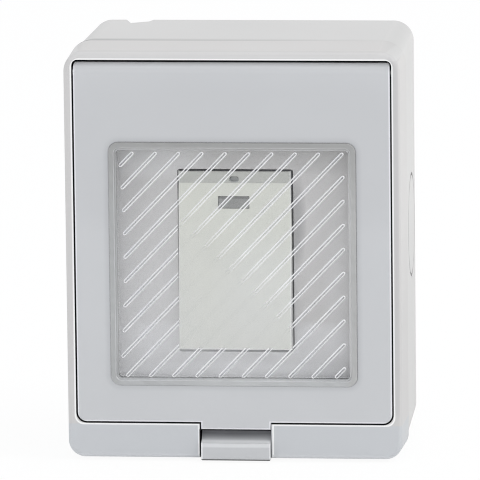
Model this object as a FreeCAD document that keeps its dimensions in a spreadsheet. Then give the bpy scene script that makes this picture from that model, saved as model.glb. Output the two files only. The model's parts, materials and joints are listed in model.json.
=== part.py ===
import FreeCAD, Part
import Sketcher
import math
import os
from types import SimpleNamespace

# Outdoor weatherproof switch: a surface box, a framed front with a hinged lid and a soft clear membrane,
# and a large rocker behind it. Millimetres. The origin is the centre of the back face, which lies on the
# wall. X points right, +Y points into the wall and Z points up. "Depth" is the distance in front of the
# wall, so a depth of 10 is y = -10.

doc = FreeCAD.newDocument("weatherproof_switch")
Vector = FreeCAD.Vector

SIZES = [
    # whole body
    ("face_width", 100.0),
    ("face_height", 122.4),
    ("face_corner", 5.0),
    ("face_corner_top", 6.3),
    ("face_round", 1.3),
    ("total_depth", 65.0),
    ("box_depth", 46.0),
    ("flange_width", 101.0),
    ("flange_height", 124.2),
    ("flange_corner", 5.6),
    ("flange_corner_top", 7.0),
    ("seam_round", 0.6),
    # back box
    ("rim_width", 100.0),
    ("rim_height", 123.2),
    ("rim_corner", 5.2),
    ("rim_corner_top", 6.6),
    ("back_width", 98.0),
    ("back_height", 123.8),
    ("back_corner", 6.0),
    ("box_wall", 2.8),
    ("box_floor", 3.0),
    ("gasket_width", 1.3),
    ("gasket_thick", 1.2),
    ("fit_clearance", 0.05),
    ("frame_screw_x", 37.5),
    ("frame_screw_top", 44.5),
    ("frame_screw_low", -41.5),
    ("frame_screw_radius", 1.95),
    ("frame_screw_bite", 11.8),
    ("frame_screw_head", 3.7),
    ("frame_screw_head_thick", 2.4),
    ("boss_radius", 4.3),
    ("fixing_spacing_x", 56.0),
    ("fixing_spacing_z", 100.0),
    ("fixing_hole_radius", 1.9),
    ("fixing_collar_radius", 4.5),
    ("fixing_collar_height", 2.0),
    ("side_ring_radius", 15.3),
    ("side_ring_depth", 18.0),
    ("side_ring_z", 2.2),
    ("ring_line", 0.8),
    ("ring_cut", 0.6),
    ("ring_mark", 2.4),
    ("entry_ring_radius", 10.2),
    ("entry_hole_radius", 10.0),
    ("entry_spacing", 44.0),
    ("rear_ring_radius", 12.0),
    ("notch_left", -38.7),
    ("notch_right", -30.4),
    ("notch_deep", 7.2),
    ("notch_shallow", 3.7),
    ("notch_cut", 1.6),
    # front frame
    ("frame_wall", 2.6),
    ("border_side", 2.43),
    ("border_top", 2.67),
    ("border_bottom", 10.35),
    ("border_wall", 2.2),
    ("opening_corner_top", 1.75),
    ("opening_corner_low", 3.25),
    ("recess_depth", 8.0),
    ("deck_thick", 2.0),
    ("column_radius", 5.0),
    ("seal_rib_wall", 1.2),
    ("seal_rib_height", 3.0),
    # lid
    ("lid_gap", 0.45),
    ("lid_thick", 2.2),
    ("lid_skirt_wall", 1.8),
    ("lid_depth", 6.6),
    ("lid_round", 0.4),
    ("barrel_radius", 3.5),
    ("barrel_drop", 1.5),
    ("tab_width", 20.95),
    ("tab_drop", 2.1),
    ("lid_gasket_width", 3.1),
    ("lid_gasket_thick", 2.6),
    ("seal_gap", 0.2),
    ("hinge_pin_radius", 1.25),
    ("hinge_pin_reach", 4.0),
    ("hinge_pin_seat", 1.6),
    # window membrane
    ("window_x", 0.0),
    ("window_z", -2.65),
    ("bead_width", 73.6),
    ("bead_height", 73.1),
    ("bead_corner", 2.8),
    ("bead_strip", 2.3),
    ("bead_proud", 1.0),
    ("bead_step", 0.6),
    ("bead_step_cut", 0.35),
    ("neck_inset", 1.4),
    ("rear_lip", 1.8),
    ("rear_lip_thick", 1.2),
    ("sheet_thick", 1.0),
    ("sheet_recess", 0.4),
    ("rib_count", 19),
    ("rib_pitch", 6.945),
    ("rib_width", 1.15),
    ("rib_height", 0.5),
    ("rib_field_width", 67.4),
    ("rib_field_height", 67.7),
    ("rib_field_x", -0.4),
    ("rib_field_z", -2.9),
    ("rib_slant", 46.0),
    ("rib_middle_x", 0.51),
    ("rib_middle_z", -2.75),
    ("retainer_width", 82.0),
    ("retainer_height", 81.0),
    ("retainer_wall", 1.4),
    ("retainer_corner", 3.5),
    ("post_radius", 1.0),
    ("post_reach", 20.0),
    ("window_fit", 0.1),
    # latch
    ("latch_x", 0.35),
    ("latch_width", 20.7),
    ("latch_left_gap", 0.55),
    ("latch_right_gap", 0.25),
    ("latch_top_gap", 0.7),
    ("latch_proud", 2.0),
    ("latch_bottom", -61.7),
    ("latch_scoop_radius", 3.85),
    ("latch_scoop_low", -56.4),
    ("latch_scoop_back", 2.2),
    ("latch_rear_back", 4.6),
    ("latch_pin_back", 4.5),
    ("latch_pin_z", -59.5),
    ("latch_pin_radius", 1.0),
    ("latch_pin_seat", 1.5),
    ("latch_boss_radius", 2.2),
    ("notch_floor_back", 8.2),
    ("notch_wall", 2.0),
    ("latch_slot_width", 5.2),
    ("latch_wire", 0.5),
    ("latch_coil_radius", 1.55),
    ("latch_coil_turns", 5),
    # rocker
    ("rocker_z", -2.83),
    ("pivot_back", 13.0),
    ("rocker_width", 34.0),
    ("rocker_height", 53.85),
    ("rocker_front", 6.5),
    ("rocker_rear", 2.0),
    ("rocker_wall", 2.0),
    ("rocker_side_wall", 1.8),
    ("rocker_tilt", 3.5),
    ("rocker_gap", 0.4),
    ("rocker_left_gap", 0.2),
    ("rocker_end_gap", 0.7),
    ("rocker_corner", 0.6),
    ("facet_height", 3.5),
    ("facet_rise", 0.45),
    ("trunnion_radius", 2.0),
    ("trunnion_length", 1.9),
    ("pin_clearance", 0.05),
    ("indicator_left", -5.1),
    ("indicator_right", 4.3),
    ("indicator_low", 15.46),
    ("indicator_high", 19.16),
    ("indicator_lip", 0.6),
    ("indicator_fit", 0.08),
    ("dimple_x", -0.25),
    ("dimple_z", 24.4),
    ("dimple_width", 2.7),
    ("dimple_height", 1.4),
    ("dimple_cut", 0.5),
    ("tube_radius", 4.2),
    ("tube_bore", 2.8),
    ("tube_end", 4.8),
    ("plunger_radius", 2.7),
    ("plunger_top", 0.5),
    ("plunger_tip", 14.6),
    ("plunger_spring_radius", 2.05),
    ("plunger_wire", 0.5),
    ("plunger_turns", 4),
    # mechanism
    ("base_width", 41.6),
    ("base_height", 64.0),
    ("base_rear_back", 37.0),
    ("base_corner", 1.5),
    ("base_floor", 3.0),
    ("well_floor_back", 19.0),
    ("chamber_width", 12.0),
    ("chamber_height", 32.0),
    ("ear_width", 52.0),
    ("ear_height", 76.0),
    ("ear_back", 14.0),
    ("ear_thick", 2.5),
    ("ear_screw_x", 23.0),
    ("ear_screw_z", 35.0),
    ("ear_boss_radius", 3.0),
    ("base_screw_radius", 1.45),
    ("base_screw_head", 2.8),
    ("base_screw_head_thick", 2.0),
    ("base_screw_bite", 4.5),
    ("bridge_back", 28.4),
    ("bridge_width", 4.5),
    ("bridge_length", 23.5),
    ("bridge_thick", 1.0),
    ("bridge_tilt", 6.0),
    ("tip_radius", 1.75),
    ("tip_thick", 0.8),
    ("tip_reach", 10.0),
    ("contact_gap", 0.4),
    ("stem_width", 5.0),
    ("stem_thick", 1.6),
    ("block_width", 8.0),
    ("block_height", 8.0),
    ("block_depth", 8.5),
    ("wire_hole_radius", 1.6),
    ("terminal_screw_radius", 1.5),
    ("terminal_screw_head", 2.75),
    ("terminal_screw_head_thick", 2.0),
    ("terminal_screw_bite", 3.2),
    ("lamp_radius", 2.0),
    ("lamp_length", 9.0),
    ("lamp_back", 13.6),
    ("lamp_rise", 17.31),
    ("cradle_thick", 1.4),
    ("lead_radius", 0.3),
    ("resistor_radius", 0.95),
    ("resistor_length", 5.6),
    ("resistor_rise", 22.36),
    ("earth_z", -51.0),
    ("earth_post_radius", 4.4),
    ("earth_post_height", 7.0),
    ("earth_block_width", 12.0),
]

sheet = doc.addObject("Spreadsheet::Sheet", "Sizes")
for row, (alias, number) in enumerate(SIZES, start=1):
    sheet.set(f"A{row}", alias)
    sheet.set(f"B{row}", str(number))
    sheet.setAlias(f"B{row}", alias)
doc.recompute()


class Size:
    # A value now, with the formula in the sheet's words that gives it again after a change.
    def __init__(self, value, formula):
        self.value = value
        self.formula = formula

    def __add__(self, other):
        other = as_size(other)
        return Size(self.value + other.value, f"({self.formula} + {other.formula})")

    def __sub__(self, other):
        other = as_size(other)
        return Size(self.value - other.value, f"({self.formula} - {other.formula})")

    def __mul__(self, other):
        other = as_size(other)
        return Size(self.value * other.value, f"({self.formula} * {other.formula})")

    def __truediv__(self, other):
        other = as_size(other)
        return Size(self.value / other.value, f"({self.formula} / {other.formula})")

    def __neg__(self):
        return Size(-self.value, f"(0 - {self.formula})")


def as_size(number):
    if isinstance(number, Size):
        return number
    return Size(float(number), f"({float(number)})")


def sine(angle):
    return Size(math.sin(math.radians(angle.value)), f"sin({angle.formula} * 1 deg)")


def cosine(angle):
    return Size(math.cos(math.radians(angle.value)), f"cos({angle.formula} * 1 deg)")


s = SimpleNamespace(**{alias: Size(float(number), f"Sizes.{alias}") for alias, number in SIZES})

# What hangs on the front frame is set back from the face, so it keeps its place behind it.
for place in (
    "latch_scoop", "latch_rear", "latch_pin", "notch_floor",
    "pivot", "base_rear", "well_floor", "ear", "bridge", "lamp",
):
    setattr(s, place + "_depth", s.total_depth - getattr(s, place + "_back"))
ZERO = as_size(0)
OVERCUT = as_size(1)


def bind(thing, path, amount):
    thing.setExpression(path, as_size(amount).formula)


# Sketch outlines. Each returns a function that draws into a sketch and binds its sizes.


def draw_shape(sketch, geometry, rules, bound):
    first_rule = sketch.ConstraintCount
    sketch.addGeometry(geometry, False)
    sketch.addConstraint(rules)
    for place, amount in bound:
        bind(sketch, f"Constraints[{first_rule + place}]", amount)


def rounded(left, right, low, high, corner, corner_high=None):
    # A rectangle with round corners; the two upper corners may have a radius of their own.
    corner_high = corner if corner_high is None else corner_high

    def draw(sketch):
        x0, x1, z0, z1 = left.value, right.value, low.value, high.value
        below, above = corner.value, corner_high.value
        n = sketch.GeometryCount

        def line(xa, za, xb, zb):
            return Part.LineSegment(Vector(xa, za, 0), Vector(xb, zb, 0))

        def arc(xc, zc, radius, quarter):
            circle = Part.Circle(Vector(xc, zc, 0), Vector(0, 0, 1), radius)
            return Part.ArcOfCircle(circle, quarter * math.pi / 2, (quarter + 1) * math.pi / 2)

        geometry = [
            line(x0 + below, z0, x1 - below, z0),
            arc(x1 - below, z0 + below, below, 3),
            line(x1, z0 + below, x1, z1 - above),
            arc(x1 - above, z1 - above, above, 0),
            line(x1 - above, z1, x0 + above, z1),
            arc(x0 + above, z1 - above, above, 1),
            line(x0, z1 - above, x0, z0 + below),
            arc(x0 + below, z0 + below, below, 2),
        ]
        rule = Sketcher.Constraint
        rules = [rule("Tangent", n + i, 2, n + (i + 1) % 8, 1) for i in range(8)]
        rules += [rule("Horizontal", n), rule("Horizontal", n + 4)]
        rules += [rule("Vertical", n + 2), rule("Vertical", n + 6)]
        rules += [
            rule("Radius", n + 1, below),
            rule("Radius", n + 7, below),
            rule("Radius", n + 3, above),
            rule("Radius", n + 5, above),
            rule("DistanceX", -1, 1, n + 6, 1, x0),
            rule("DistanceX", -1, 1, n + 2, 1, x1),
            rule("DistanceY", -1, 1, n, 1, z0),
            rule("DistanceY", -1, 1, n + 4, 1, z1),
        ]
        amounts = [corner, corner, corner_high, corner_high, left, right, low, high]
        draw_shape(sketch, geometry, rules, list(enumerate(amounts, start=12)))

    return draw


def outline(points, arcs=None):
    # A closed outline through points. arcs gives, for the side that starts at a point's index, its
    # centre and radius; the arc goes the short way round.
    arcs = arcs or {}

    def draw(sketch):
        n = sketch.GeometryCount
        count = len(points)
        rule = Sketcher.Constraint
        geometry, ends = [], []
        for i in range(count):
            start = Vector(points[i][0].value, points[i][1].value, 0)
            end = Vector(points[(i + 1) % count][0].value, points[(i + 1) % count][1].value, 0)
            if i not in arcs:
                geometry.append(Part.LineSegment(start, end))
                ends.append((1, 2))
                continue
            centre = Vector(arcs[i][0].value, arcs[i][1].value, 0)
            a0 = math.atan2(start.y - centre.y, start.x - centre.x)
            a1 = math.atan2(end.y - centre.y, end.x - centre.x)
            forward = (a1 - a0) % (2 * math.pi) < math.pi
            if not forward:
                a0, a1 = a1, a0
            circle = Part.Circle(centre, Vector(0, 0, 1), arcs[i][2].value)
            geometry.append(Part.ArcOfCircle(circle, a0, a1))
            ends.append((1, 2) if forward else (2, 1))
        rules, bound = [], []
        for i in range(count):
            j = (i + 1) % count
            rules.append(rule("Coincident", n + i, ends[i][1], n + j, ends[j][0]))
        for i in range(count):
            bound.append((len(rules), points[i][0]))
            rules.append(rule("DistanceX", -1, 1, n + i, ends[i][0], points[i][0].value))
            bound.append((len(rules), points[i][1]))
            rules.append(rule("DistanceY", -1, 1, n + i, ends[i][0], points[i][1].value))
        for i, (_, _, radius) in arcs.items():
            bound.append((len(rules), radius))
            rules.append(rule("Radius", n + i, radius.value))
        draw_shape(sketch, geometry, rules, bound)

    return draw


def rectangle(left, right, low, high):
    return outline([(left, low), (right, low), (right, high), (left, high)])


def disc(across, up, radius):
    def draw(sketch):
        n = sketch.GeometryCount
        centre = Vector(across.value, up.value, 0)
        rule = Sketcher.Constraint
        rules = [
            rule("Radius", n, radius.value),
            rule("DistanceX", -1, 1, n, 3, across.value),
            rule("DistanceY", -1, 1, n, 3, up.value),
        ]
        circle = Part.Circle(centre, Vector(0, 0, 1), radius.value)
        draw_shape(sketch, [circle], rules, [(0, radius), (1, across), (2, up)])

    return draw


# Bodies. A sketch on the front plane stands at a depth, is added forwards and cut backwards.
# A sketch on the side plane reads (y, z) and one on the top plane reads (x, y); both are added
# towards +X or +Z and cut the other way.


def new_body(name):
    body = doc.addObject("PartDesign::Body", name)
    body.Label = name
    return body


def new_sketch(body, name, offset, shapes, plane="XZ_Plane"):
    sketch = body.newObject("Sketcher::SketchObject", f"{body.Name}_{name}_sketch")
    base = [f for f in body.Origin.OriginFeatures if f.Role == plane][0]
    sketch.AttachmentSupport = [(base, "")]
    sketch.MapMode = "FlatFace"
    bind(sketch, "AttachmentOffset.Base.z", offset)
    for draw in shapes:
        draw(sketch)
    return sketch


def add(body, name, offset, length, *shapes, plane="XZ_Plane"):
    feature = body.newObject("PartDesign::Pad", f"{body.Name}_{name}")
    feature.Profile = new_sketch(body, name, offset, shapes, plane)
    bind(feature, "Length", length)
    return feature


def cut(body, name, offset, length, *shapes, plane="XZ_Plane"):
    feature = body.newObject("PartDesign::Pocket", f"{body.Name}_{name}")
    feature.Profile = new_sketch(body, name, offset, shapes, plane)
    bind(feature, "Length", length)
    return feature


def loft(body, kind, name, rear, rear_shape, front, front_shape):
    feature = body.newObject(f"PartDesign::{kind}Loft", f"{body.Name}_{name}")
    feature.Profile = new_sketch(body, name + "_rear", rear, [rear_shape])
    feature.Sections = [new_sketch(body, name + "_front", front, [front_shape])]
    feature.Ruled = True
    return feature


def soften(body, name, radius, wanted):
    # Rounds the edges of the body's last shape that the given test picks.
    doc.recompute()
    base = body.Tip
    edges = [f"Edge{i}" for i, edge in enumerate(base.Shape.Edges, start=1) if wanted(edge)]
    feature = body.newObject("PartDesign::Fillet", f"{body.Name}_{name}")
    feature.Base = (base, edges)
    bind(feature, "Radius", radius)
    return feature


def flat_at(edge, depth):
    box = edge.BoundBox
    return abs(box.YMin + depth.value) < 0.01 and abs(box.YMax + depth.value) < 0.01


# Loose solids built from blocks and rods.


def block(name, left, right, rear, front, low, high):
    solid = doc.addObject("Part::Box", name)
    bind(solid, "Length", right - left)
    bind(solid, "Width", front - rear)
    bind(solid, "Height", high - low)
    bind(solid, "Placement.Base.x", left)
    bind(solid, "Placement.Base.y", -front)
    bind(solid, "Placement.Base.z", low)
    return solid


def rod(name, x, depth, z, radius, length, turn):
    solid = doc.addObject("Part::Cylinder", name)
    solid.Placement = FreeCAD.Placement(Vector(0, 0, 0), turn)
    bind(solid, "Radius", radius)
    bind(solid, "Height", length)
    bind(solid, "Placement.Base.x", x)
    bind(solid, "Placement.Base.y", -depth)
    bind(solid, "Placement.Base.z", z)
    return solid


def rod_forward(name, x, z, rear, front, radius):
    return rod(name, x, rear, z, radius, front - rear, FreeCAD.Rotation(Vector(1, 0, 0), 90))


def rod_across(name, left, right, depth, z, radius):
    return rod(name, left, depth, z, radius, right - left, FreeCAD.Rotation(Vector(0, 1, 0), 90))


def rod_up(name, x, depth, low, high, radius):
    return rod(name, x, depth, low, radius, high - low, FreeCAD.Rotation())


def joined(name, solids):
    whole = doc.addObject("Part::MultiFuse", name)
    whole.Shapes = solids
    whole.Label = name
    return whole


def without(name, base, tool):
    rest = doc.addObject("Part::Cut", name)
    rest.Base = base
    rest.Tool = tool
    rest.Label = name
    return rest


def group(name, solids):
    several = doc.addObject("Part::Compound", name)
    several.Links = solids
    several.Label = name
    return several


def screw(name, x, z, seat, shank_end, radius, head_radius, head_thick):
    # A pan-head screw along the depth; the head lies beyond the seat, away from the shank's end.
    out = 1 if seat.value > shank_end.value else -1
    head_end = seat + head_thick * out
    slot_floor = seat + head_thick * (0.45 * out)
    if out > 0:
        shank = rod_forward(name + "_shank", x, z, shank_end, seat, radius)
        head = rod_forward(name + "_head", x, z, seat, head_end, head_radius)
        low, high = slot_floor, head_end + OVERCUT
    else:
        shank = rod_forward(name + "_shank", x, z, seat, shank_end, radius)
        head = rod_forward(name + "_head", x, z, head_end, seat, head_radius)
        low, high = head_end - OVERCUT, slot_floor
    reach, half = head_radius * 0.62, head_radius * 0.13
    cross = joined(name + "_cross", [
        block(name + "_slot_a", x - reach, x + reach, low, high, z - half, z + half),
        block(name + "_slot_b", x - half, x + half, low, high, z - reach, z + reach),
    ])
    return without(name, joined(name + "_blank", [shank, head]), cross)


def bent_wire(path, wire):
    # A round wire along a smooth curve through the given points.
    curve = Part.BSplineCurve()
    curve.interpolate(path)
    start = curve.value(curve.FirstParameter)
    heading = curve.tangent(curve.FirstParameter)[0]
    section = Part.Wire([Part.makeCircle(wire / 2, start, heading)])
    return Part.Wire([curve.toShape()]).makePipeShell([section], True, False)


# Places that several pieces share.

half_face_width = s.face_width / 2
half_face_height = s.face_height / 2
opening_x = half_face_width - s.border_side
opening_top = half_face_height - s.border_top
opening_low = s.border_bottom - half_face_height
lid_x = opening_x - s.lid_gap
lid_top = opening_top - s.lid_gap
lid_low = opening_low + s.lid_gap
lid_inner_front = s.total_depth - s.lid_thick
lid_rear = s.total_depth - s.lid_depth
deck_front = s.total_depth - s.recess_depth
deck_rear = deck_front - s.deck_thick
hinge_depth = s.total_depth - s.barrel_radius
hinge_z = lid_top - s.barrel_radius
barrel_low = hinge_z - s.barrel_drop
inner_x = half_face_width - s.frame_wall
inner_z = half_face_height - s.frame_wall
latch_left = s.latch_x - s.latch_width / 2
latch_right = s.latch_x + s.latch_width / 2
tab_left = s.latch_x - s.tab_width / 2
tab_right = s.latch_x + s.tab_width / 2
tab_low = lid_low - s.tab_drop
notch_left = latch_left - s.latch_left_gap
notch_right = latch_right + s.latch_right_gap
notch_floor = s.notch_floor_depth
latch_top = tab_low - s.latch_top_gap
latch_front = s.total_depth + s.latch_proud
seal_x = lid_x - s.lid_skirt_wall - s.seal_gap
seal_low = lid_low + s.lid_skirt_wall + s.seal_gap
seal_top = barrel_low - OVERCUT
rib_in = (s.lid_gasket_width - s.seal_rib_wall) / 2
field_x = s.bead_width / 2 - s.bead_strip
field_z = s.bead_height / 2 - s.bead_strip
frame_screws_at = [
    (s.frame_screw_x * side, height) for side in (-1, 1) for height in (s.frame_screw_low, s.frame_screw_top)
]
frame_screw_seat = deck_front - s.frame_screw_head_thick - 0.4
ear_screws_at = [
    (s.ear_screw_x * side, s.rocker_z + s.ear_screw_z * level) for side in (-1, 1) for level in (-1, 1)
]
fixings_at = [
    (s.fixing_spacing_x / 2 * side, s.fixing_spacing_z / 2 * level) for side in (-1, 1) for level in (-1, 1)
]


def around(half_width, half_height, corner, corner_high=None):
    return rounded(-half_width, half_width, -half_height, half_height, corner, corner_high)


def window_frame(half_width, half_height, corner):
    left, right = s.window_x - half_width, s.window_x + half_width
    return rounded(left, right, s.window_z - half_height, s.window_z + half_height, corner)


# Back box: a tapered tray with four screw columns, fixing collars and blank knock-outs.


def make_back_box():
    body = new_body("back_box")
    wall = s.box_wall
    loft(
        body, "Additive", "shell",
        ZERO, around(s.back_width / 2, s.back_height / 2, s.back_corner),
        s.box_depth, around(s.rim_width / 2, s.rim_height / 2, s.rim_corner, s.rim_corner_top),
    )
    soften(body, "seam", s.seam_round, lambda edge: flat_at(edge, s.box_depth))
    loft(
        body, "Subtractive", "cavity",
        s.box_floor, around(s.back_width / 2 - wall, s.back_height / 2 - wall, s.back_corner - wall),
        s.box_depth, around(
            s.rim_width / 2 - wall, s.rim_height / 2 - wall, s.rim_corner - wall, s.rim_corner_top - wall
        ),
    )
    ledge = s.gasket_width + s.fit_clearance
    step_x, step_z = s.rim_width / 2 - wall + ledge, s.rim_height / 2 - wall + ledge
    low, high = s.rim_corner - wall + ledge, s.rim_corner_top - wall + ledge
    cut(body, "ledge", s.box_depth, s.gasket_thick, around(step_x, step_z, low, high))
    floor = s.box_floor - 0.5
    add(body, "columns", floor, s.box_depth - floor, *[disc(x, z, s.boss_radius) for x, z in frame_screws_at])
    webs = []
    for x, z in frame_screws_at:
        side = 1 if x.value > 0 else -1
        inner, outer = x + s.boss_radius * (0.8 * side), (s.back_width / 2 - wall * 0.5) * side
        webs.append(rectangle(*sorted((inner, outer), key=lambda p: p.value), z - 1, z + 1))
    add(body, "webs", floor, s.box_depth - floor - s.gasket_thick * 4, *webs)
    reach = s.frame_screw_bite + 2
    bore = s.frame_screw_radius + s.fit_clearance
    cut(body, "pilots", s.box_depth, reach, *[disc(x, z, bore) for x, z in frame_screws_at])
    collars = [disc(x, z, s.fixing_collar_radius) for x, z in fixings_at]
    add(body, "collars", floor, s.fixing_collar_height + 0.5, *collars)
    holes = [disc(x, z, s.fixing_hole_radius) for x, z in fixings_at]
    cut(body, "fixings", s.box_floor + s.fixing_collar_height, s.box_floor + s.fixing_collar_height, *holes)
    add(body, "earth_post", floor, s.earth_post_height + 0.5, disc(ZERO, s.earth_z, s.earth_post_radius))
    line = s.ring_line / 2

    def ring(across, up, radius):
        return [disc(across, up, radius - line), disc(across, up, radius + line)]

    side_ring = ring(-s.side_ring_depth, s.side_ring_z, s.side_ring_radius)
    flare = (s.rim_width - s.back_width) / 2 * (s.side_ring_depth / s.box_depth)
    side_floor = s.back_width / 2 + flare - s.ring_cut * 1.5
    side_reach = s.rim_width / 2 + 1 - side_floor
    cut(body, "right_ring", side_floor + side_reach, side_reach, *side_ring, plane="YZ_Plane")
    cut(body, "left_ring", -side_floor, side_reach, *side_ring, plane="YZ_Plane")
    marks = []
    for level in (-1, 1):
        middle = s.side_ring_z + s.side_ring_radius * level
        marks.append(rectangle(
            -s.side_ring_depth - line, -s.side_ring_depth + line,
            middle - s.ring_mark / 2, middle + s.ring_mark / 2,
        ))
    mark_floor, mark_reach = side_floor - 0.5, side_reach + 0.5
    cut(body, "right_marks", mark_floor + mark_reach, mark_reach, *marks, plane="YZ_Plane")
    cut(body, "left_marks", -mark_floor, mark_reach, *marks, plane="YZ_Plane")
    mid_wall = (s.rim_height + s.back_height) / 4
    blank = ring(s.entry_spacing / 2, -s.box_depth / 2, s.entry_ring_radius)
    cut(body, "right_entry", -(mid_wall - s.ring_cut), as_size(4), *blank, plane="XY_Plane")
    entry = disc(-s.entry_spacing / 2, -s.box_depth / 2, s.entry_hole_radius)
    cut(body, "left_entry", -(mid_wall - wall - 2), wall + 5, entry, plane="XY_Plane")
    cut(body, "rear_ring", s.ring_cut, s.ring_cut, *ring(ZERO, ZERO, s.rear_ring_radius))
    slope = (s.notch_right - s.notch_left) / 8
    notch = outline([
        (s.notch_left, OVERCUT),
        (s.notch_left, ZERO),
        (s.notch_left + slope * 2, -s.notch_deep),
        (s.notch_right - slope, -s.notch_shallow),
        (s.notch_right, ZERO),
        (s.notch_right, OVERCUT),
    ])
    top = s.back_height / 2
    cut(body, "top_notch", top + 1, s.notch_cut + 1, notch, plane="XY_Plane")
    return body


# Front frame: the bezel, its flange and the deck that carries the mechanism.


def make_front_frame():
    body = new_body("front_frame")
    loft(
        body, "Additive", "shell",
        s.box_depth, around(s.flange_width / 2, s.flange_height / 2, s.flange_corner, s.flange_corner_top),
        s.total_depth, around(half_face_width, half_face_height, s.face_corner, s.face_corner_top),
    )
    soften(body, "face_edge", s.face_round, lambda edge: flat_at(edge, s.total_depth))
    soften(body, "seam", s.seam_round, lambda edge: flat_at(edge, s.box_depth))
    rear_depth = deck_rear - s.box_depth
    low, high = s.face_corner - s.frame_wall, s.face_corner_top - s.frame_wall
    cut(body, "cavity", deck_rear, rear_depth, around(inner_x, inner_z, low, high))
    lid_hole = rounded(
        -opening_x, opening_x, opening_low, opening_top, s.opening_corner_low, s.opening_corner_top
    )
    cut(body, "recess", s.total_depth, s.recess_depth, lid_hole)
    border_front = s.total_depth - s.border_wall
    border_top = opening_low - s.border_wall
    pockets = [
        rectangle(-inner_x + 1, notch_left - s.notch_wall, -inner_z, border_top),
        rectangle(notch_right + s.notch_wall, inner_x - 1, -inner_z, border_top),
    ]
    cut(body, "border_hollow", border_front, border_front - s.box_depth, *pockets)
    rib_x, rib_low, rib_top = seal_x - rib_in, seal_low + rib_in, seal_top - rib_in
    wall = s.seal_rib_wall
    add(
        body, "seal_rib", deck_front - 0.5, s.seal_rib_height + 0.5,
        rounded(-rib_x, rib_x, rib_low, rib_top, as_size(2.4)),
        rounded(-rib_x + wall, rib_x - wall, rib_low + wall, rib_top - wall, as_size(1.2)),
    )
    columns = [disc(x, z, s.column_radius) for x, z in frame_screws_at]
    add(body, "columns", s.box_depth, deck_rear - s.box_depth + 0.5, *columns)
    clear = s.frame_screw_radius + 0.3
    cut(body, "screw_ways", deck_front, deck_front - s.box_depth, *[disc(x, z, clear) for x, z in frame_screws_at])
    seats = [disc(x, z, s.frame_screw_head + 0.3) for x, z in frame_screws_at]
    cut(body, "screw_seats", deck_front, deck_front - frame_screw_seat, *seats)
    ear_front = s.ear_depth
    bosses = [disc(x, z, s.ear_boss_radius) for x, z in ear_screws_at]
    add(body, "ear_bosses", ear_front, deck_rear - ear_front + 0.5, *bosses)
    bite = s.base_screw_bite + 0.4
    pilots = [disc(x, z, s.base_screw_radius + s.fit_clearance) for x, z in ear_screws_at]
    cut(body, "ear_pilots", ear_front + bite, bite, *pilots)
    half_open = s.rocker_height / 2 + s.rocker_end_gap
    left, right = -s.rocker_width / 2 - s.rocker_left_gap, s.rocker_width / 2 + s.rocker_gap
    low, high = s.rocker_z - half_open, s.rocker_z + half_open
    cut(body, "rocker_opening", deck_front, s.deck_thick, rounded(left, right, low, high, as_size(0.8)))
    notch = rectangle(notch_left, notch_right, -s.flange_height / 2, opening_low + 1)
    cut(body, "latch_notch", s.total_depth, s.total_depth - notch_floor, notch)
    pin = disc(-s.latch_pin_depth, s.latch_pin_z, s.latch_pin_radius + s.fit_clearance)
    seat = s.latch_pin_seat
    cut(body, "latch_pin_hole", notch_right + seat, notch_right - notch_left + seat * 2, pin, plane="YZ_Plane")
    hinge = disc(-hinge_depth, hinge_z, s.hinge_pin_radius + s.fit_clearance)
    cut(body, "right_hinge_hole", opening_x + s.hinge_pin_seat, s.hinge_pin_seat, hinge, plane="YZ_Plane")
    cut(body, "left_hinge_hole", -opening_x, s.hinge_pin_seat, hinge, plane="YZ_Plane")
    return body


# Lid: a shallow shell whose top edge is the hinge barrel.


def make_lid():
    body = new_body("lid")
    gap = s.lid_gap
    plate = rounded(
        -lid_x, lid_x, lid_low, lid_top, s.opening_corner_low - gap, s.opening_corner_top - gap
    )
    add(body, "shell", lid_rear, s.lid_depth, plate)
    far = s.barrel_radius + 1
    barrel = outline(
        [
            (-s.total_depth, hinge_z),
            (-hinge_depth, lid_top),
            (-hinge_depth + s.barrel_radius, hinge_z),
            (-hinge_depth + far, hinge_z),
            (-hinge_depth + far, hinge_z + far),
            (-hinge_depth - far, hinge_z + far),
            (-hinge_depth - far, hinge_z),
        ],
        {0: (-hinge_depth, hinge_z, s.barrel_radius), 1: (-hinge_depth, hinge_z, s.barrel_radius)},
    )
    cut(body, "barrel", lid_x + 1, lid_x * 2 + 2, barrel, plane="YZ_Plane")
    lap = as_size(3)
    tab = rectangle(tab_left, tab_right, tab_low, lid_low + lap)
    add(body, "tab", lid_inner_front, s.lid_thick, tab)

    def outer_edge(edge):
        box = edge.BoundBox
        return flat_at(edge, s.total_depth) and box.ZMin < hinge_z.value - 0.5

    soften(body, "edge", s.lid_round, outer_edge)
    hollow_x = lid_x - s.lid_skirt_wall
    hollow = rounded(-hollow_x, hollow_x, lid_low + s.lid_skirt_wall, barrel_low, as_size(1.5), as_size(0.8))
    cut(body, "hollow", lid_inner_front, lid_inner_front - lid_rear, hollow)
    fit = s.window_fit
    neck_x, neck_z = s.bead_width / 2 - s.neck_inset + fit, s.bead_height / 2 - s.neck_inset + fit
    cut(body, "window", s.total_depth, s.lid_thick, window_frame(neck_x, neck_z, s.bead_corner - s.neck_inset + fit))
    posts = [disc(x, z, s.post_radius) for x, z in posts_at]
    add(body, "posts", retainer_rear - 0.3, lid_inner_front - retainer_rear + 0.8, *posts)
    hole = disc(-hinge_depth, hinge_z, s.hinge_pin_radius + s.pin_clearance)
    reach = s.hinge_pin_reach
    cut(body, "right_pin_hole", lid_x, reach, hole, plane="YZ_Plane")
    cut(body, "left_pin_hole", -lid_x + reach, reach, hole, plane="YZ_Plane")
    return body


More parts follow.
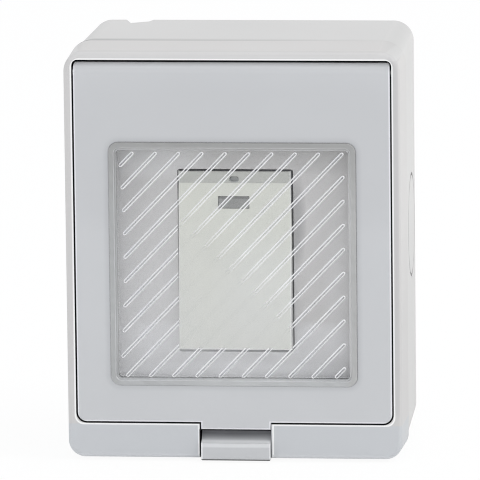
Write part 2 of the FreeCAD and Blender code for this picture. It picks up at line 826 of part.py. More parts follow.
def make_lid_gasket():
    body = new_body("lid_gasket")
    width = s.lid_gasket_width
    outer = rounded(-seal_x, seal_x, seal_low, seal_top, as_size(1.5))
    inner = rounded(-seal_x + width, seal_x - width, seal_low + width, seal_top - width, as_size(0.8))
    add(body, "ring", lid_inner_front - s.lid_gasket_thick, s.lid_gasket_thick, outer, inner)
    return body


def make_body_gasket():
    body = new_body("body_gasket")
    inner_x, inner_z = s.rim_width / 2 - s.box_wall, s.rim_height / 2 - s.box_wall
    low, high = s.rim_corner - s.box_wall, s.rim_corner_top - s.box_wall
    width = s.gasket_width
    outer = around(inner_x + width, inner_z + width, low + width, high + width)
    add(body, "ring", s.box_depth - s.gasket_thick, s.gasket_thick, outer, around(inner_x, inner_z, low, high))
    return body


# Window membrane: a soft clear grommet with a proud bead, a thin sheet and slanting ribs.

rear_lip_rear = lid_inner_front - s.rear_lip_thick
retainer_rear = rear_lip_rear - s.retainer_wall
post_x = s.retainer_width / 2 - 1.75
post_z = s.retainer_height / 2 - 1.75
posts_at = [
    (s.window_x + post_x * side, s.window_z + s.post_reach * level) for side in (-1, 1) for level in (-1, 1)
] + [
    (s.window_x + s.post_reach * side, s.window_z + post_z * level) for side in (-1, 1) for level in (-1, 1)
]


def make_membrane():
    body = new_body("membrane_sheet")
    half_x, half_z, corner = s.bead_width / 2, s.bead_height / 2, s.bead_corner
    inset = s.neck_inset
    neck = window_frame(half_x - inset, half_z - inset, corner - inset)
    add(body, "neck", rear_lip_rear, s.total_depth - rear_lip_rear, neck)
    lip = s.rear_lip - inset
    add(body, "rear_lip", rear_lip_rear, s.rear_lip_thick, window_frame(half_x + lip, half_z + lip, corner))
    add(body, "bead", s.total_depth, s.bead_proud, window_frame(half_x, half_z, corner))
    field_corner = as_size(1.0)
    sheet_front = s.total_depth - s.sheet_recess
    bead_front = s.total_depth + s.bead_proud
    cut(body, "field", bead_front, bead_front - sheet_front, window_frame(field_x, field_z, field_corner))
    step = s.bead_step
    cut(body, "step", bead_front, s.bead_step_cut, window_frame(field_x + step, field_z + step, field_corner))
    sheet_rear = sheet_front - s.sheet_thick
    cut(body, "back", sheet_rear, sheet_rear - rear_lip_rear, window_frame(field_x, field_z, field_corner))

    slats = doc.addObject("Part::Feature", "membrane_ribs")
    left = (s.rib_field_x - s.rib_field_width / 2).value
    right = (s.rib_field_x + s.rib_field_width / 2).value
    low = (s.rib_field_z - s.rib_field_height / 2).value
    high = (s.rib_field_z + s.rib_field_height / 2).value
    half_rib = s.rib_width.value / 2
    middle_z = s.rib_middle_z.value
    slope = math.tan(math.radians(s.rib_slant.value))
    count = int(s.rib_count.value)
    foot = sheet_front.value - 0.3
    height = s.rib_height.value + 0.3
    ribs = []
    for i in range(count):
        middle_x = s.rib_middle_x.value + (i - (count - 1) / 2) * s.rib_pitch.value
        x0 = max(left, middle_x + (low - middle_z) / slope)
        x1 = min(right, middle_x + (high - middle_z) / slope)
        start = Vector(x0, -foot, middle_z + (x0 - middle_x) * slope)
        end = Vector(x1, -foot, middle_z + (x1 - middle_x) * slope)
        along = (end - start).normalize()
        across = Vector(-along.z, 0, along.x) * half_rib
        edges = [
            Part.LineSegment(start - across, end - across).toShape(),
            Part.Arc(end - across, end + along * half_rib, end + across).toShape(),
            Part.LineSegment(end + across, start + across).toShape(),
            Part.Arc(start + across, start - along * half_rib, start - across).toShape(),
        ]
        ribs.append(Part.Face(Part.Wire(edges)).extrude(Vector(0, -height, 0)))
    slats.Shape = Part.makeCompound(ribs)
    return joined("membrane", [body, slats])


def make_retainer():
    body = new_body("membrane_retainer")
    half_x, half_z = s.retainer_width / 2, s.retainer_height / 2
    add(
        body, "ring", retainer_rear, lid_inner_front - retainer_rear,
        window_frame(half_x, half_z, s.retainer_corner),
    )
    lip = s.rear_lip - s.neck_inset + 0.2
    seat = window_frame(s.bead_width / 2 + lip, s.bead_height / 2 + lip, s.bead_corner)
    cut(body, "lip_seat", lid_inner_front, s.rear_lip_thick, seat)
    opening = window_frame(field_x + 0.4, field_z + 0.4, as_size(1.5))
    cut(body, "opening", rear_lip_rear, s.retainer_wall, opening)
    holes = [disc(x, z, s.post_radius + 0.1) for x, z in posts_at]
    cut(body, "post_holes", lid_inner_front, lid_inner_front - retainer_rear, *holes)
    return body


# Hinge pins, latch, its pin and its spring.


def make_hinge_pins():
    reach = s.hinge_pin_reach - 0.2
    seat = s.hinge_pin_seat - 0.1
    radius = s.hinge_pin_radius
    right = rod_across("hinge_pin_right", lid_x - reach, opening_x + seat, hinge_depth, hinge_z, radius)
    left = rod_across("hinge_pin_left", -(opening_x + seat), -(lid_x - reach), hinge_depth, hinge_z, radius)
    return group("hinge_pins", [left, right])


def make_latch():
    body = new_body("latch")
    front, low = -latch_front, s.latch_bottom
    pin_y, pin_z, boss = -s.latch_pin_depth, s.latch_pin_z, s.latch_boss_radius
    toe = as_size(1.0)
    profile = outline(
        [
            (front, s.latch_scoop_low),
            (front, low + toe),
            (front + toe, low),
            (pin_y, low),
            (pin_y + boss, pin_z),
            (pin_y + boss, pin_z + 1.5),
            (-s.latch_rear_depth, pin_z + 3.9),
            (-s.latch_rear_depth, latch_top),
            (-s.latch_scoop_depth, latch_top),
        ],
        {
            1: (front + toe, low + toe, toe),
            3: (pin_y, pin_z, boss),
            8: (front + 0.4, latch_top + 0.6, s.latch_scoop_radius),
        },
    )
    add(body, "profile", latch_left, s.latch_width, profile, plane="YZ_Plane")

    def side_front(edge):
        box = edge.BoundBox
        at_side = min(abs(box.XMin - latch_left.value), abs(box.XMax - latch_right.value)) < 0.01
        return at_side and box.XLength < 0.01 and flat_at(edge, latch_front)

    soften(body, "side_edges", as_size(0.4), side_front)
    hole = disc(pin_y, pin_z, s.latch_pin_radius + s.pin_clearance)
    cut(body, "pin_hole", latch_right, s.latch_width, hole, plane="YZ_Plane")
    half_slot = s.latch_slot_width / 2
    slot = rectangle(s.latch_x - half_slot, s.latch_x + half_slot, low - 1, pin_z + 3.4)
    slot_front = s.latch_pin_depth + s.latch_coil_radius + 0.9
    cut(body, "spring_slot", slot_front, slot_front - notch_floor, slot)
    core = [
        rectangle(latch_left + 1.6, s.latch_x - half_slot - 1.6, pin_z + 2.9, latch_top - 1.4),
        rectangle(s.latch_x + half_slot + 1.6, latch_right - 1.6, pin_z + 2.9, latch_top - 1.4),
    ]
    cut(body, "cores", s.latch_scoop_depth - 1.0, s.latch_scoop_depth - notch_floor, *core)
    return body


def make_latch_pin():
    seat = s.latch_pin_seat - 0.1
    return rod_across(
        "latch_pin", notch_left - seat, notch_right + seat,
        s.latch_pin_depth, s.latch_pin_z, s.latch_pin_radius,
    )


def make_latch_spring():
    # A torsion coil on the pin; one leg lies on the notch's rear wall, the other behind the latch's toe,
    # which it pushes forwards. Each leg runs off the coil along its tangent.
    wire, radius, turns = s.latch_wire.value, s.latch_coil_radius.value, int(s.latch_coil_turns.value)
    depth, height = s.latch_pin_depth.value, s.latch_pin_z.value
    slot_front = radius + 0.9
    fixed_tip = (notch_floor.value + wire / 2 + 0.05 - depth, -2.0)
    free_tip = (slot_front - wire / 2 - 0.05, -2.0)

    def tangent_angle(tip, side):
        reach = math.hypot(*tip)
        return math.atan2(tip[1], tip[0]) + side * math.acos(radius / reach)

    begin = tangent_angle(fixed_tip, -1) % (2 * math.pi)
    end = tangent_angle(free_tip, 1) - 2 * math.pi * (turns - 1)
    sweep = begin - end
    advance = wire * 1.5 / (2 * math.pi)
    start_x = s.latch_x.value - sweep * advance / 2
    steps = int(sweep / math.radians(20))

    def on_coil(i):
        turned = sweep * i / steps
        angle = begin - turned
        return Vector(
            start_x + turned * advance, -depth - radius * math.cos(angle), height + radius * math.sin(angle)
        )

    def leg(tip, foot):
        far = Vector(foot.x, -depth - tip[0], height + tip[1])
        return [far + (foot - far) * share for share in (0, 0.35, 0.7)]

    coil = [on_coil(i) for i in range(steps + 1)]
    path = leg(fixed_tip, coil[0]) + coil + leg(free_tip, coil[-1])[::-1]
    spring = doc.addObject("Part::Feature", "latch_spring")
    spring.Shape = bent_wire(path, wire)
    return spring


# Rocker and what moves with it. These are drawn about the pivot, then tilted into place.


def tilt_into_place(thing):
    thing.Placement = FreeCAD.Placement(
        Vector(0, -s.pivot_depth.value, s.rocker_z.value),
        FreeCAD.Rotation(Vector(-1, 0, 0), s.rocker_tilt.value),
    )
    bind(thing, "Placement.Base.y", -s.pivot_depth)
    bind(thing, "Placement.Base.z", s.rocker_z)
    bind(thing, "Placement.Rotation.Angle", s.rocker_tilt)


def make_rocker():
    body = new_body("rocker")
    half_w, half_h = s.rocker_width / 2, s.rocker_height / 2
    front, rear = s.rocker_front, -s.rocker_rear
    profile = outline([
        (-front, -half_h),
        (-front, half_h - s.facet_height),
        (-front - s.facet_rise, half_h),
        (-rear, half_h),
        (-rear, -half_h),
    ])
    add(body, "block", -half_w, s.rocker_width, profile, plane="YZ_Plane")

    def face_edge(edge):
        box = edge.BoundBox
        centre = edge.CenterOfMass
        on_side = abs(abs(centre.x) - half_w.value) < 0.01
        on_end = abs(abs(centre.z) - half_h.value) < 0.01
        return (on_side or on_end) and box.YMax < -front.value + 0.01

    soften(body, "face_edges", s.rocker_corner, face_edge)
    inner = front - s.rocker_wall
    side = s.rocker_side_wall
    hollow = rounded(-half_w + side, half_w - side, -half_h + side, half_h - side, as_size(1.0))
    cut(body, "hollow", inner, inner - rear, hollow)
    add(body, "tube", -s.tube_end, s.tube_end + inner + 0.5, disc(ZERO, ZERO, s.tube_radius))
    cut(body, "bore", inner, inner + s.tube_end, disc(ZERO, ZERO, s.tube_bore))
    pin = disc(ZERO, ZERO, s.trunnion_radius)
    root = as_size(1.0)
    add(body, "right_trunnion", half_w - root, s.trunnion_length + root, pin, plane="YZ_Plane")
    add(body, "left_trunnion", -half_w - s.trunnion_length, s.trunnion_length + root, pin, plane="YZ_Plane")
    window = rectangle(s.indicator_left, s.indicator_right, s.indicator_low, s.indicator_high)
    cut(body, "indicator", front, s.rocker_wall, window)
    reach_x, reach_z = s.dimple_width / 2, s.dimple_height / 2
    oval = rounded(
        s.dimple_x - reach_x, s.dimple_x + reach_x,
        s.dimple_z - reach_z, s.dimple_z + reach_z, reach_z - 0.05,
    )
    crest = front + s.facet_rise
    cut(body, "dimple", crest, s.dimple_cut + s.facet_rise, oval)
    tilt_into_place(body)
    return body


def make_indicator_lens():
    body = new_body("indicator_lens")
    fit, lip, front = s.indicator_fit, s.indicator_lip, s.rocker_front
    inner = front - s.rocker_wall
    left, right = s.indicator_left, s.indicator_right
    low, high = s.indicator_low, s.indicator_high
    flange = rectangle(left - lip, right + lip, low - lip, high + lip)
    add(body, "flange", inner - 1, as_size(1.0), flange)
    panel = rectangle(left + fit, right - fit, low + fit, high - fit)
    add(body, "panel", inner - 0.5, s.rocker_wall + 0.5 - 0.25, panel)
    tilt_into_place(body)
    return body


def make_plunger():
    body = new_body("rocker_plunger")
    radius = s.plunger_radius
    tip = -s.plunger_tip
    profile = outline(
        [
            (ZERO, tip),
            (radius, tip + radius),
            (radius, -s.plunger_top),
            (ZERO, -s.plunger_top),
        ],
        {0: (ZERO, tip + radius, radius)},
    )
    sketch = new_sketch(body, "profile", ZERO, [profile], plane="XY_Plane")
    spin = body.newObject("PartDesign::Revolution", "rocker_plunger_turned")
    spin.Profile = sketch
    spin.ReferenceAxis = (sketch, ["V_Axis"])
    spin.Angle = 360
    # The profile is turned about Y with its tip towards -Y; half a turn brings the tip to the rear.
    body.Placement = FreeCAD.Placement(
        Vector(0, -s.pivot_depth.value, s.rocker_z.value),
        FreeCAD.Rotation(Vector(1, 0, 0), 180 - s.rocker_tilt.value),
    )
    bind(body, "Placement.Base.y", -s.pivot_depth)
    bind(body, "Placement.Base.z", s.rocker_z)
    bind(body, "Placement.Rotation.Angle", as_size(180) - s.rocker_tilt)
    return body


def make_plunger_spring():
    wire, radius = s.plunger_wire.value, s.plunger_spring_radius.value
    room = wire / 2 + s.fit_clearance.value
    low = room - s.plunger_top.value
    high = (s.rocker_front - s.rocker_wall).value - room
    steps = int(s.plunger_turns.value * 18)

    def on_coil(i):
        angle = math.radians(i * 20)
        rise = low + (high - low) * i / steps
        return Vector(radius * math.cos(angle), -rise, radius * math.sin(angle))

    spring = doc.addObject("Part::Feature", "plunger_spring")
    spring.Shape = bent_wire([on_coil(i) for i in range(steps + 1)], wire)
    tilt_into_place(spring)
    return spring


# Mechanism: the housing behind the deck, its contacts and its terminals.


def make_switch_base():
    body = new_body("switch_base")
    half_w, half_h = s.base_width / 2, s.base_height / 2
    mid = s.rocker_z
    outer = rounded(-half_w, half_w, mid - half_h, mid + half_h, s.base_corner)
    add(body, "block", s.base_rear_depth, deck_rear - s.base_rear_depth, outer)
    ear_w, ear_h = s.ear_width / 2, s.ear_height / 2
    ears = rounded(-ear_w, ear_w, mid - ear_h, mid + ear_h, as_size(3.0))
    add(body, "ears", s.ear_depth - s.ear_thick, s.ear_thick, ears)
    holes = [disc(x, z, s.base_screw_radius + 0.2) for x, z in ear_screws_at]
    cut(body, "ear_holes", s.ear_depth, s.ear_thick, *holes)
    well_w, well_h = s.rocker_width / 2 + s.rocker_gap, s.rocker_height / 2 + s.rocker_end_gap
    well = rounded(-well_w, well_w, mid - well_h, mid + well_h, as_size(0.8))
    cut(body, "well", deck_rear, deck_rear - s.well_floor_depth, well)
    chamber_floor = s.base_rear_depth + s.base_floor
    half_cw, half_ch = s.chamber_width / 2, s.chamber_height / 2
    chamber = rounded(-half_cw, half_cw, mid - half_ch, mid + half_ch, as_size(1.0))
    cut(body, "chamber", s.well_floor_depth, s.well_floor_depth - chamber_floor, chamber)
    pin = disc(-s.pivot_depth, mid, s.trunnion_radius + s.pin_clearance)
    seat = s.trunnion_length + 0.2
    half_r = s.rocker_width / 2
    cut(body, "right_bearing", half_r + seat, seat, pin, plane="YZ_Plane")
    cut(body, "left_bearing", -half_r, seat, pin, plane="YZ_Plane")
    stem_x, stem_z = s.stem_width / 2 + s.fit_clearance, s.stem_thick / 2 + s.fit_clearance
    slots = [
        rectangle(-stem_x, stem_x, mid + s.tip_reach * level - stem_z, mid + s.tip_reach * level + stem_z)
        for level in (-1, 0, 1)
    ]
    cut(body, "stem_slots", chamber_floor, s.base_floor, *slots)
    lamp_z = mid + s.lamp_rise
    thick = s.cradle_thick
    reach = s.lamp_length / 2 - 1
    cradle_low, cradle_high = lamp_z - s.lamp_radius + 0.3, lamp_z + s.lamp_radius - 0.3
    cradles = [
        rectangle(-reach - thick, -reach, cradle_low, cradle_high),
        rectangle(reach, reach + thick, cradle_low, cradle_high),
    ]
    add(body, "cradles", s.well_floor_depth - 0.5, s.lamp_depth - s.well_floor_depth + 0.5, *cradles)
    lamp = disc(-s.lamp_depth, lamp_z, s.lamp_radius + s.fit_clearance)
    cut(body, "lamp_seat", s.lamp_length / 2 + 2, s.lamp_length + 4, lamp, plane="YZ_Plane")
    return body


def terminal_block(name, z):
    half_w, half_h = s.block_width / 2, s.block_height / 2
    front = s.base_rear_depth
    rear = front - s.block_depth
    solid = block(name + "_cube", -half_w, half_w, rear, front, z - half_h, z + half_h)
    wire = rod_across(name + "_wire_way", -half_w - 1, half_w + 1, front - 3.4, z, s.wire_hole_radius)
    bore = s.terminal_screw_radius + s.fit_clearance
    thread = rod_forward(name + "_thread", ZERO, z, rear - 1, front - 3.4, bore)
    return without(name + "_block", solid, joined(name + "_ways", [wire, thread]))


fixed_front = (
    s.bridge_depth
    - (s.bridge_thick / 2 + s.tip_thick) * cosine(s.bridge_tilt)
    - s.tip_reach * sine(s.bridge_tilt)
    - s.contact_gap
)


def make_common_terminal():
    z = s.rocker_z
    stem_top = s.bridge_depth - s.bridge_thick / 2 - s.contact_gap
    half_x, half_z = s.stem_width / 2, s.stem_thick / 2
    stem = block("common_stem", -half_x, half_x, s.base_rear_depth - 0.5, stem_top, z - half_z, z + half_z)
    return joined("common_terminal", [terminal_block("common", z), stem])


def make_load_terminal(name, level):
    z = s.rocker_z + s.tip_reach * level
    half_x, half_z = s.stem_width / 2, s.stem_thick / 2
    pad_rear = fixed_front - s.tip_thick
    stem = block(name + "_stem", -half_x, half_x, s.base_rear_depth - 0.5, pad_rear, z - half_z, z + half_z)
    pad = rod_forward(name + "_pad", ZERO, z, pad_rear - 0.2, fixed_front, s.tip_radius)
    return joined(name, [terminal_block(name, z), stem, pad])


def make_contact_bridge():
    half_w, half_l, half_t = s.bridge_width / 2, s.bridge_length / 2, s.bridge_thick / 2
    strip = block("bridge_strip", -half_w, half_w, -half_t, half_t, -half_l, half_l)
    tips = [
        rod_forward(
            "bridge_tip_" + word, ZERO, s.tip_reach * level,
            -half_t - s.tip_thick, -half_t + 0.2, s.tip_radius,
        )
        for word, level in (("low", -1), ("high", 1))
    ]
    bridge = joined("contact_bridge", [strip] + tips)
    bridge.Placement = FreeCAD.Placement(
        Vector(0, -s.bridge_depth.value, s.rocker_z.value),
        FreeCAD.Rotation(Vector(1, 0, 0), s.bridge_tilt.value),
    )
    bind(bridge, "Placement.Base.y", -s.bridge_depth)
    bind(bridge, "Placement.Base.z", s.rocker_z)
    bind(bridge, "Placement.Rotation.Angle", s.bridge_tilt)
    return bridge


def make_terminal_screws():
    rear = s.base_rear_depth - s.block_depth
    screws = [
        screw(
            f"terminal_screw_{word}", ZERO, s.rocker_z + s.tip_reach * level, rear,
            rear + s.terminal_screw_bite, s.terminal_screw_radius,
            s.terminal_screw_head, s.terminal_screw_head_thick,
        )
        for word, level in (("low", -1), ("mid", 0), ("high", 1))
    ]
    return group("terminal_screws", screws)


def make_frame_screws():
    screws = [
        screw(
            f"frame_screw_{i}", x, z, frame_screw_seat, s.box_depth - s.frame_screw_bite,
            s.frame_screw_radius, s.frame_screw_head, s.frame_screw_head_thick,
        )
        for i, (x, z) in enumerate(frame_screws_at)
    ]
    return group("frame_screws", screws)


def make_base_screws():
    seat = s.ear_depth - s.ear_thick
    screws = [
        screw(
            f"base_screw_{i}", x, z, seat, s.ear_depth + s.base_screw_bite,
            s.base_screw_radius, s.base_screw_head, s.base_screw_head_thick,
        )
        for i, (x, z) in enumerate(ear_screws_at)
    ]
    return group("base_screws", screws)


def make_lamp():
    z = s.rocker_z + s.lamp_rise
    half = s.lamp_length / 2
    reach = as_size(2.5)
    glass = rod_across("lamp_glass", -half, half, s.lamp_depth, z, s.lamp_radius)
    leads = [
        rod_across("lamp_lead_left", -half - reach, -half + 0.5, s.lamp_depth, z, s.lead_radius),
        rod_across("lamp_lead_right", half - 0.5, half + reach, s.lamp_depth, z, s.lead_radius),
    ]
    return joined("indicator_lamp", [glass] + leads)


def make_resistor():
    z = s.rocker_z + s.resistor_rise
    depth = s.well_floor_depth + s.resistor_radius
    half = s.resistor_length / 2
    reach = as_size(3.0)
    bead = rod_across("resistor_bead", -half, half, depth, z, s.resistor_radius)
    lead = rod_across("resistor_lead", -half - reach, half + reach, depth, z, s.lead_radius)
    return joined("lamp_resistor", [bead, lead])


def make_earth_terminal():
    half_w, half_h = s.earth_block_width / 2, s.block_height / 2
    rear = s.box_floor + s.earth_post_height
    front = rear + s.block_depth - 1.5
    cube = block("earth_cube", -half_w, half_w, rear, front, s.earth_z - half_h, s.earth_z + half_h)
    low, high = s.earth_z - half_h - 1, s.earth_z + half_h + 1
    ways = [
        rod_up("earth_way_left", -half_w / 2 - 0.6, rear + 2.4, low, high, s.wire_hole_radius),
        rod_up("earth_way_right", half_w / 2 + 0.6, rear + 2.4, low, high, s.wire_hole_radius),
        rod_forward(
            "earth_thread", ZERO, s.earth_z, rear + 1.5, front + 1, s.terminal_screw_radius + s.fit_clearance
        ),
    ]
    return without("earth_terminal", cube, joined("earth_ways", ways))


def make_earth_screw():
    seat = s.box_floor + s.earth_post_height + s.block_depth - 1.5
    return screw(
        "earth_screw", ZERO, s.earth_z, seat, seat - s.terminal_screw_bite - 1.5,
        s.terminal_screw_radius, s.terminal_screw_head, s.terminal_screw_head_thick,
    )


nodes = [
    make_back_box(),
    make_body_gasket(),
    make_front_frame(),
    make_frame_screws(),
    make_lid(),
    make_lid_gasket(),
    make_membrane(),
    make_retainer(),
    make_hinge_pins(),
    make_latch(),
    make_latch_pin(),
    make_latch_spring(),
    make_rocker(),
    make_indicator_lens(),
    make_plunger(),
    make_plunger_spring(),
    make_switch_base(),
    make_base_screws(),
    make_contact_bridge(),
    make_common_terminal(),
    make_load_terminal("load_terminal_low", -1),
    make_load_terminal("load_terminal_high", 1),
    make_terminal_screws(),
    make_lamp(),
    make_resistor(),
    make_earth_terminal(),
    make_earth_screw(),
]

doc.recompute()

faults = []
for thing in doc.Objects:
    if "Invalid" in thing.State or "Error" in thing.State:
        faults.append(f"{thing.Name}: {thing.State}")
    if thing.TypeId == "PartDesign::Pocket" or thing.TypeId == "PartDesign::SubtractiveLoft":
        if thing.Shape.Volume > thing.BaseFeature.Shape.Volume - 0.001:
            faults.append(f"{thing.Name}: cuts nothing")
for node in nodes:
    if node.Shape.isNull() or not node.Shape.isValid() or not node.Shape.Solids:
        faults.append(f"{node.Label}: no valid solid")
if faults:
    raise RuntimeError("\n".join(faults))

os.makedirs("parts", exist_ok=True)
for node in nodes:
    node.Shape.exportStep(f"parts/{node.Label}.step")
    print(f"{node.Label}: {len(node.Shape.Solids)} solid(s), {node.Shape.Volume:.1f} mm3")
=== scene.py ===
import bpy
import bmesh
import json
import math
from mathutils import Matrix, Vector


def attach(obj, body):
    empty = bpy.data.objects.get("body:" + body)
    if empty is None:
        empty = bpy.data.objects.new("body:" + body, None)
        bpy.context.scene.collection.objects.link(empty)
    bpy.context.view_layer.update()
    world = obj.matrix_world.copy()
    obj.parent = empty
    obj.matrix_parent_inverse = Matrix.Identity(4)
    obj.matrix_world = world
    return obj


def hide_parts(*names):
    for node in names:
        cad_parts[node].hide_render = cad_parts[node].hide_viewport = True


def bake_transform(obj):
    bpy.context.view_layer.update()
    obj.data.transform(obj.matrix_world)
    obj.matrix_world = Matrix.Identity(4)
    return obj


# Outdoor weatherproof switch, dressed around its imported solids. Lengths in the dictionaries are in
# millimetres, and depth is the distance in front of the wall (y = -depth).

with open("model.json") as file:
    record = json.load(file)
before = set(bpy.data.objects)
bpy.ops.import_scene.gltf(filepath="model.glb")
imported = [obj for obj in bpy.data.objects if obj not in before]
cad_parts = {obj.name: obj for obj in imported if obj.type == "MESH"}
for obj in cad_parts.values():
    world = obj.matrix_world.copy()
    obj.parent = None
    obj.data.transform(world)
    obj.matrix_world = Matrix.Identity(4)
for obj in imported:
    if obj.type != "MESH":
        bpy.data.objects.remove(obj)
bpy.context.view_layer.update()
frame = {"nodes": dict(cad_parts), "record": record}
nodes = frame["nodes"]
scene = bpy.context.scene
mm = 0.001
print("frame loaded:", len(nodes), "nodes")


def linear(red, green, blue):
    # A colour as it is seen on screen, 0 to 255, to the renderer's linear values.
    def one(value):
        value /= 255
        return value / 12.92 if value <= 0.04045 else ((value + 0.055) / 1.055) ** 2.4

    return (one(red), one(green), one(blue), 1.0)


def linked(name, data):
    # A new object in the scene, at the origin.
    thing = bpy.data.objects.new(name, data)
    scene.collection.objects.link(thing)
    return thing


# Sums of node sockets, for shader trees and geometry trees alike


class Sum:
    # A number in a node tree; + - * / and the named steps add Math nodes.
    def __init__(self, tree, value):
        self.tree = tree
        self.value = value

    def step(self, operation, *others):
        node = self.tree.nodes.new("ShaderNodeMath")
        node.operation = operation
        for socket, term in zip(node.inputs, (self, *others)):
            term = term.value if isinstance(term, Sum) else term
            if isinstance(term, (int, float)):
                socket.default_value = term
            else:
                self.tree.links.new(term, socket)
        return Sum(self.tree, node.outputs[0])

    def __add__(self, other):
        return self.step("ADD", other)

    def __sub__(self, other):
        return self.step("SUBTRACT", other)

    def __mul__(self, other):
        return self.step("MULTIPLY", other)

    def __truediv__(self, other):
        return self.step("DIVIDE", other)

    def smallest(self, other):
        return self.step("MINIMUM", other)

    def largest(self, other):
        return self.step("MAXIMUM", other)

    def above(self, other):
        return self.step("GREATER_THAN", other)

    def below(self, other):
        return self.step("LESS_THAN", other)

    def size(self):
        return self.step("ABSOLUTE")

    def between(self, low, high):
        # 0 at low, 1 at high, straight between and held outside.
        node = self.tree.nodes.new("ShaderNodeMapRange")
        node.inputs["From Min"].default_value = low
        node.inputs["From Max"].default_value = high
        self.tree.links.new(self.value, node.inputs["Value"])
        return Sum(self.tree, node.outputs["Result"])


def parts(tree, vector):
    node = tree.nodes.new("ShaderNodeSeparateXYZ")
    tree.links.new(vector, node.inputs[0])
    return [Sum(tree, output) for output in node.outputs]


def joinVector(tree, *terms):
    node = tree.nodes.new("ShaderNodeCombineXYZ")
    for socket, term in zip(node.inputs, terms):
        tree.links.new(term.value, socket)
    return node.outputs[0]


# Shader groups


def newGroup(name, inputs, outputs):
    tree = bpy.data.node_groups.new(name, "ShaderNodeTree")
    kinds = {"number": "NodeSocketFloat", "colour": "NodeSocketColor"}
    for title, kind, start in inputs:
        socket = tree.interface.new_socket(title, in_out="INPUT", socket_type=kinds[kind])
        socket.default_value = start
    for title, kind in outputs:
        tree.interface.new_socket(title, in_out="OUTPUT", socket_type=kinds[kind])
    return tree, tree.nodes.new("NodeGroupInput"), tree.nodes.new("NodeGroupOutput")


def onObject(tree):
    # The place on the object as a vector, in metres.
    return tree.nodes.new("ShaderNodeTexCoord").outputs["Object"]


def noise(tree, place, scale, detail=2.0, roughness=0.5):
    node = tree.nodes.new("ShaderNodeTexNoise")
    node.inputs["Detail"].default_value = detail
    node.inputs["Roughness"].default_value = roughness
    if isinstance(scale, (int, float)):
        node.inputs["Scale"].default_value = scale
    else:
        tree.links.new(scale, node.inputs["Scale"])
    tree.links.new(place, node.inputs["Vector"])
    return Sum(tree, node.outputs[0])


def mixColour(tree, share, first, second):
    node = tree.nodes.new("ShaderNodeMix")
    node.data_type = "RGBA"
    sockets = (node.inputs["Factor"], node.inputs[6], node.inputs[7])  # 6 and 7 are the two colours
    for socket, term in zip(sockets, (share, first, second)):
        term = term.value if isinstance(term, Sum) else term
        if isinstance(term, (int, float, tuple)):
            socket.default_value = term
        else:
            tree.links.new(term, socket)
    return node.outputs[2]


def buildMouldedGroup():
    # Moulded plastic: a fine spark-eroded grain, a faint cloudiness and slightly uneven gloss.
    tree, source, target = newGroup(
        "mouldedSurface",
        [
            ("Base", "colour", (0.6, 0.6, 0.6, 1)),
            ("Cloud Size", "number", 22.0),
            ("Cloud", "number", 0.03),
            ("Smear Size", "number", 60.0),
            ("Grain Size", "number", 1400.0),
            ("Grain", "number", 0.5),
            ("Gloss Wander", "number", 0.06),
            ("Roughness", "number", 0.5),
        ],
        [("Colour", "colour"), ("Roughness", "number"), ("Height", "number")],
    )
    place = onObject(tree)
    cloud = noise(tree, place, source.outputs["Cloud Size"], 3.0, 0.55)
    cloudShare = (cloud.between(0.3, 0.7) - 0.5) * Sum(tree, source.outputs["Cloud"])
    bright = tree.nodes.new("ShaderNodeHueSaturation")
    tree.links.new((cloudShare + 1.0).value, bright.inputs["Value"])
    tree.links.new(source.outputs["Base"], bright.inputs["Color"])
    tree.links.new(bright.outputs[0], target.inputs["Colour"])
    smear = noise(tree, place, source.outputs["Smear Size"], 2.0)
    wander = (smear - 0.5) * Sum(tree, source.outputs["Gloss Wander"])
    tree.links.new((wander + Sum(tree, source.outputs["Roughness"])).value, target.inputs["Roughness"])
    grain = noise(tree, place, source.outputs["Grain Size"], 2.0, 0.6)
    tree.links.new((grain * Sum(tree, source.outputs["Grain"])).value, target.inputs["Height"])
    return tree


def boxReach(place, centre, half, corner):
    # How far a point lies outside a rounded rectangle in the XZ plane; negative inside.
    x, z = place
    overX = (x - centre[0]).size() - half[0] + corner
    overZ = (z - centre[1]).size() - half[1] + corner
    outX, outZ = overX.largest(0.0), overZ.largest(0.0)
    return (outX * outX + outZ * outZ).step("SQRT") + overX.largest(overZ).smallest(0.0) - corner


rectangleTitles = {
    "main": ("Centre X", "Centre Z", "Half Width", "Half Height", "Corner"),
    "tab": ("Tab X", "Tab Z", "Tab Half Width", "Tab Half Height", "Tab Corner"),
}


def buildRimGroup():
    # 1 on the outline of two joined rounded rectangles, 0 a line width away from it.
    titles = [title for group in rectangleTitles.values() for title in group]
    tree, source, target = newGroup(
        "rimLine",
        [(title, "number", 0.01) for title in titles] + [
            ("Line Width", "number", 0.0004),
            ("Front Y", "number", -0.064),
        ],
        [("Line", "number")],
    )
    value = {socket.name: Sum(tree, socket) for socket in source.outputs if socket.name}
    x, y, z = parts(tree, onObject(tree))
    reaches = []
    for group in rectangleTitles.values():
        centreX, centreZ, halfWidth, halfHeight, corner = (value[title] for title in group)
        reaches.append(boxReach((x, z), (centreX, centreZ), (halfWidth, halfHeight), corner))
    mainReach, tabReach = reaches
    line = (mainReach.smallest(tabReach).size() / value["Line Width"]).between(1.0, 0.3)
    tree.links.new((line * y.below(value["Front Y"])).value, target.inputs["Line"])
    return tree


mouldedGroup = buildMouldedGroup()
rimGroup = buildRimGroup()


# Plastics


def newMaterial(name, roughness=0.5, metallic=0.0, colour=(0.6, 0.6, 0.6, 1)):
    material = bpy.data.materials.new(name)
    material.use_nodes = True
    shader = material.node_tree.nodes["Principled BSDF"]
    shader.inputs["Roughness"].default_value = roughness
    shader.inputs["Metallic"].default_value = metallic
    shader.inputs["Base Color"].default_value = colour
    return material, material.node_tree, shader


def useGroup(tree, group, values):
    node = tree.nodes.new("ShaderNodeGroup")
    node.node_tree = group
    for title, value in values.items():
        node.inputs[title].default_value = value
    return node


